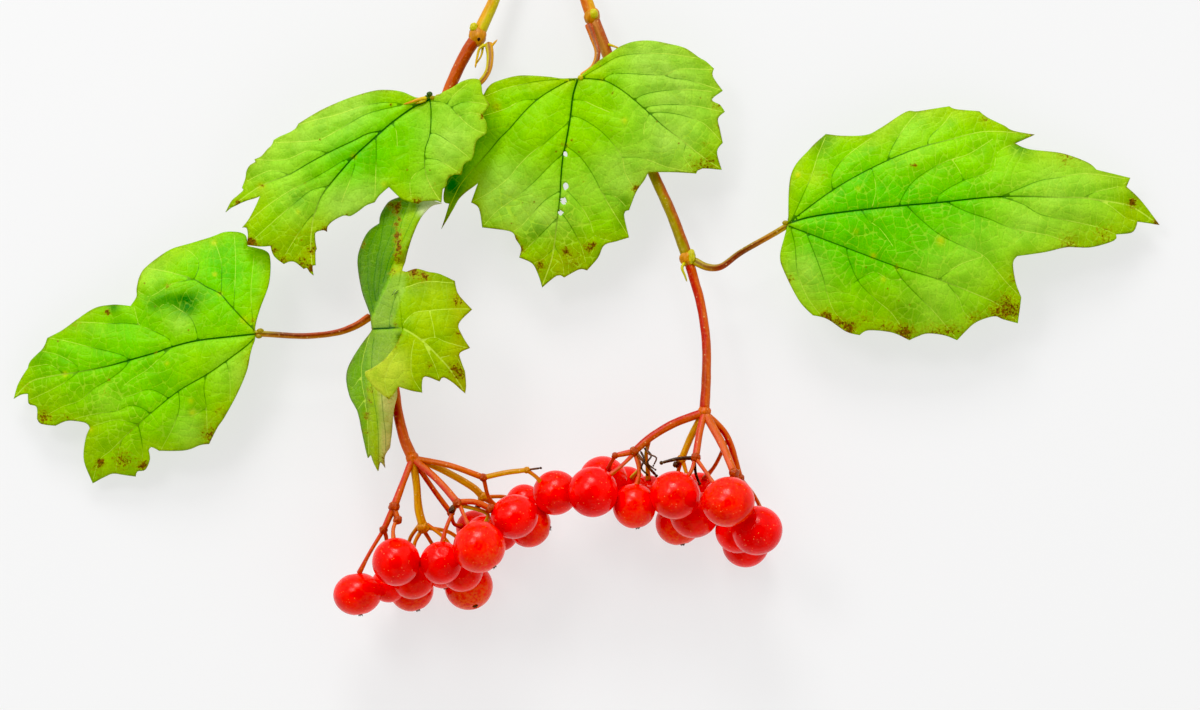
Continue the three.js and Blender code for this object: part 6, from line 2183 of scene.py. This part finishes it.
RIGHT_BUNCH = Bunch(
    name="right",
    seed=9,
    peduncle_radius=0.9,
    peduncle=(
        (17.8, 18.6, 10.1), (18.3, 17, 10.2), (19.1, 14.2, 10.4), (20, 11, 10.8), (21.2, 3, 12.4), (21.2, -5, 14),
        HUB_RIGHT,
    ),
    peduncle_tones=(Tone.RED, Tone.RED, Tone.RED, Tone.RUST, Tone.RED),
    rays=(
        (1.4, 1.2, Tone.RED, (HUB_RIGHT, (14.4, -13.8, 16.2), (9.8, -16.6, 17.4), (6.8, -19.2, 18.4))),
        (1.0, 0.8, Tone.PINK, ((6.8, -19.2, 18.4), (3, -20, 18.6))),
        (1.2, 1.2, Tone.PINK, (HUB_RIGHT, (19.8, -15.6, 17.6), (19, -20.4, 20))),
        (1.2, 1.1, Tone.YELLOW, (HUB_RIGHT, (18.4, -15.8, 14), (16.3, -20.8, 13.4))),
        (1.4, 1.2, Tone.SALMON, (HUB_RIGHT, (24.4, -18, 17.6), (26.6, -23.4, 20.3))),
        (1.1, 1.0, Tone.RED, (HUB_RIGHT, (25.2, -16, 14.4), (28, -24.6, 14.4))),
    ),
    stubs=(
        (0.7, 0.5, Tone.DARK, ((18.8, -20.4, 20), (15.4, -20.6, 20.8), (12.2, -21.4, 21))),
        (1.0, 0.8, Tone.BROWN, ((16.2, -20.8, 13.4), (15.2, -21.9, 13.4))),
        (0.5, 0.4, Tone.BROWN, ((7.2, -19.4, 18.6), (9.4, -22, 19.6), (11.2, -24, 19))),
        (0.5, 0.4, Tone.DARK, ((18.8, -21, 20), (19, -23.4, 20), (19.8, -25.6, 19.6))),
        (0.36, 0.3, Tone.DARK, ((8, -19, 18.6), (8.8, -20.8, 19.6), (8.2, -22.4, 20), (9.4, -23.8, 19.8))),
        (0.32, 0.26, Tone.DARK, ((8.6, -18.4, 18.4), (10.2, -20, 19.6), (9.4, -21.4, 20.2), (11, -22.8, 20))),
        (0.3, 0.24, Tone.BROWN, ((9.2, -18, 18.2), (9.6, -19.6, 19.4), (11.2, -20.4, 19.8), (10.6, -22, 20.2))),
    ),
    pedicels=read_pedicels("""
        PINK 6.6,-19.8,18.4 3.8,-22.4,20.4 1,-24.6,20.9;
        PINK 3,-20,18.6 2.2,-21.4,17.4 1.6,-22.8,14.8;
        LIME 7,-19.6,18 8,-22.4,12 6.4,-24.8,7;
        SALMON 7,-19.6,18.4 7.8,-23.4,18.6 7.2,-26.4,18.2;
        LIME 9.8,-16.8,17.2 9.2,-19.8,16 9.5,-22.6,13.8 9.7,-25.2,12;
        PINK 18.9,-20.6,20 18,-23.2,21.2 16.6,-25,21.3;
        YELLOW 16.5,-21,13.4 17.4,-24,13.8 18.5,-28,13.6;
        PINK 19.1,-20.6,20.2 21.4,-23.8,23.2 23.2,-26.6,25;
        OCHRE 16.2,-21,13.2 15.2,-25.6,10.6 15.4,-30.2,7.6;
        SALMON 26.6,-23.4,20.3 28.6,-27.4,19.4 30.2,-31.4,20;
        RED 28,-24.6,14.4 28,-28,14.4 27.6,-31.6,13.6;
        RED 28,-24.6,14.2 31,-28.4,11.8 32.6,-32.8,9 31,-35.8,7;
        RUST 25.4,-17,14.4 23,-22.2,9.8 20.8,-25,5.6
    """),
    berries=(
        Berry(-1.4, -27.2, 20.8, 5.05, 1.0, (-0.2, -0.8, -0.55), 0.0),
        Berry(0.6, -25, 11.3, 4.85),
        Berry(5.4, -26.4, 3.85, 4),
        Berry(6.8, -30, 17.6, 4.45, 1.05, (0.16, -0.98, 0), 0.45),
        Berry(9.8, -27.8, 10.3, 3.8),
        Berry(14.9, -27.8, 21.2, 4.95, 0.93, (0, -0.8, -0.6), 0.45),
        Berry(18.8, -31.8, 13.6, 4.9, 0.96, (0.2, -0.8, -0.56), 0.5),
        Berry(25.3, -29, 26.9, 5.2, 0.91, (0.2, -0.85, -0.5), 0.7),
        Berry(15.8, -33.7, 5, 4.7, 0.97, (0.18, -0.98, 0.05), 0.7),
        Berry(31.2, -34.8, 21.5, 5, 0.96, (0.3, -0.8, -0.5), 0.0),
        Berry(27.5, -35.2, 13, 4.5, 0.97, (-0.3, -0.7, -0.6), 0.1),
        Berry(29.3, -38.1, 4.6, 4.75, 0.97, (0, -0.8, -0.6), 0.1),
        Berry(20, -27.2, 3.45, 3.6),
    ),
)


# Studio


@dataclass
class Studio:
    """A pale floor, soft lights and a camera that looks straight down on the branch."""

    width: float = 240.0  # mm of the plan across the picture
    distance: float = 1.2  # m from the camera to the branch's middle height
    middle_height: float = 12.0  # mm
    sensor: float = 36.0  # mm

    def build(self) -> None:
        """Builds the floor, the lights and the camera."""
        self.add_floor()
        self.light_room()
        self.add_light("window", (-0.15, 1.05, 0.7), 0.45, 8.2)
        self.add_light("key", (-0.5, 0.5, 0.9), 0.3, 2.8)
        self.add_light("fill", (0.4, -1.0, 1.0), 2.0, 4.0)
        self.set_tones()
        self.add_camera()

    def add_camera(self) -> None:
        """Adds the camera, straight above the branch."""
        data = bpy.data.cameras.new("camera")
        data.sensor_width = self.sensor
        data.lens = self.sensor * self.distance / (self.width * MM)
        data.clip_start = 0.01
        camera = bpy.data.objects.new("camera", data)
        x, y, _ = in_part(np.array([[0.0, 0.0, 0.0]]))[0]
        camera.location = (x, y, self.middle_height * MM + self.distance)
        bpy.context.scene.collection.objects.link(camera)
        bpy.context.scene.camera = camera

    @staticmethod
    def set_tones() -> None:
        """Keeps plain colours, with a raised black point that clears the veil of light off glossy skins."""
        view = bpy.context.scene.view_settings
        view.view_transform = "Standard"
        view.use_curve_mapping = True
        view.curve_mapping.black_level = (0.013, 0.013, 0.013)
        view.curve_mapping.update()

    @staticmethod
    def light_room() -> None:
        """Lights the branch from all round, but dimly from overhead and low down, so gloss keeps its colour."""
        world = bpy.data.worlds.new("room")
        world.use_nodes = True
        tree = world.node_tree
        add = partial(add_node, tree)
        way = add("SeparateXYZ", (add("TexCoord").outputs["Generated"],))
        overhead = add("MapRange", (way.outputs["Z"], 0.8, 0.93, 1.0, 0.12), **SMOOTH)
        up_page = add("MapRange", (way.outputs["Y"], -0.6, 0.5, 0.6, 1.0), **SMOOTH)
        strength = add("Math", (overhead, up_page), **TIMES)
        background = tree.nodes["Background"]
        background.inputs["Color"].default_value = (1.0, 1.0, 1.0, 1.0)
        tree.links.new(strength.outputs[0], background.inputs["Strength"])
        bpy.context.scene.world = world

    def add_floor(self) -> None:
        """Adds the pale surface that the branch lies on. It glows a little, so shadows stay light."""
        bm = bmesh.new()
        bmesh.ops.create_grid(bm, x_segments=2, y_segments=2, size=2.5)
        mesh = bpy.data.meshes.new("floor")
        bm.to_mesh(mesh)
        bm.free()
        material, add = start_material("pale_paper")
        paper = {
            "Base Color": linear("#8c8c8c"),
            "Emission Color": (1.0, 1.0, 1.0, 1.0),
            "Emission Strength": 0.62,
            "Roughness": 0.9,
        }
        add("OutputMaterial", (add("BsdfPrincipled", paper),))
        mesh.materials.append(material)
        floor = bpy.data.objects.new("floor", mesh)
        bpy.context.scene.collection.objects.link(floor)

    @staticmethod
    def add_light(name: str, place: Point, size: float, power: float) -> None:
        """Adds one soft square light aimed at the branch.

        Args:
            name: the light's name.
            place: where it hangs, in metres.
            size: the length of its side, in metres.
            power: its power in watts.
        """
        data = bpy.data.lights.new(name, "AREA")
        data.shape = "SQUARE"
        data.size = size
        data.energy = power
        lamp = bpy.data.objects.new(name, data)
        lamp.location = place
        lamp.rotation_euler = (-Vector(place)).to_track_quat("-Z", "Y").to_euler()
        bpy.context.scene.collection.objects.link(lamp)


def main() -> None:
    """Builds every piece."""
    logging.basicConfig(level=logging.INFO, format="%(message)s")
    Studio().build()
    finishes = [LeafFinish(side).material() for side in LeafSide]
    for leaf in LEAVES:
        leaf.build(finishes)
    skin = StalkFinish().material()
    dry = DryFinish().material()
    Shoots().build(skin)
    Petioles().build(skin)
    berry = BerryFinish().material()
    for bunch in (LEFT_BUNCH, RIGHT_BUNCH):
        bunch.build(skin, berry, dry)
    WoodyStem().build()


if __name__ == "__main__":
    main()
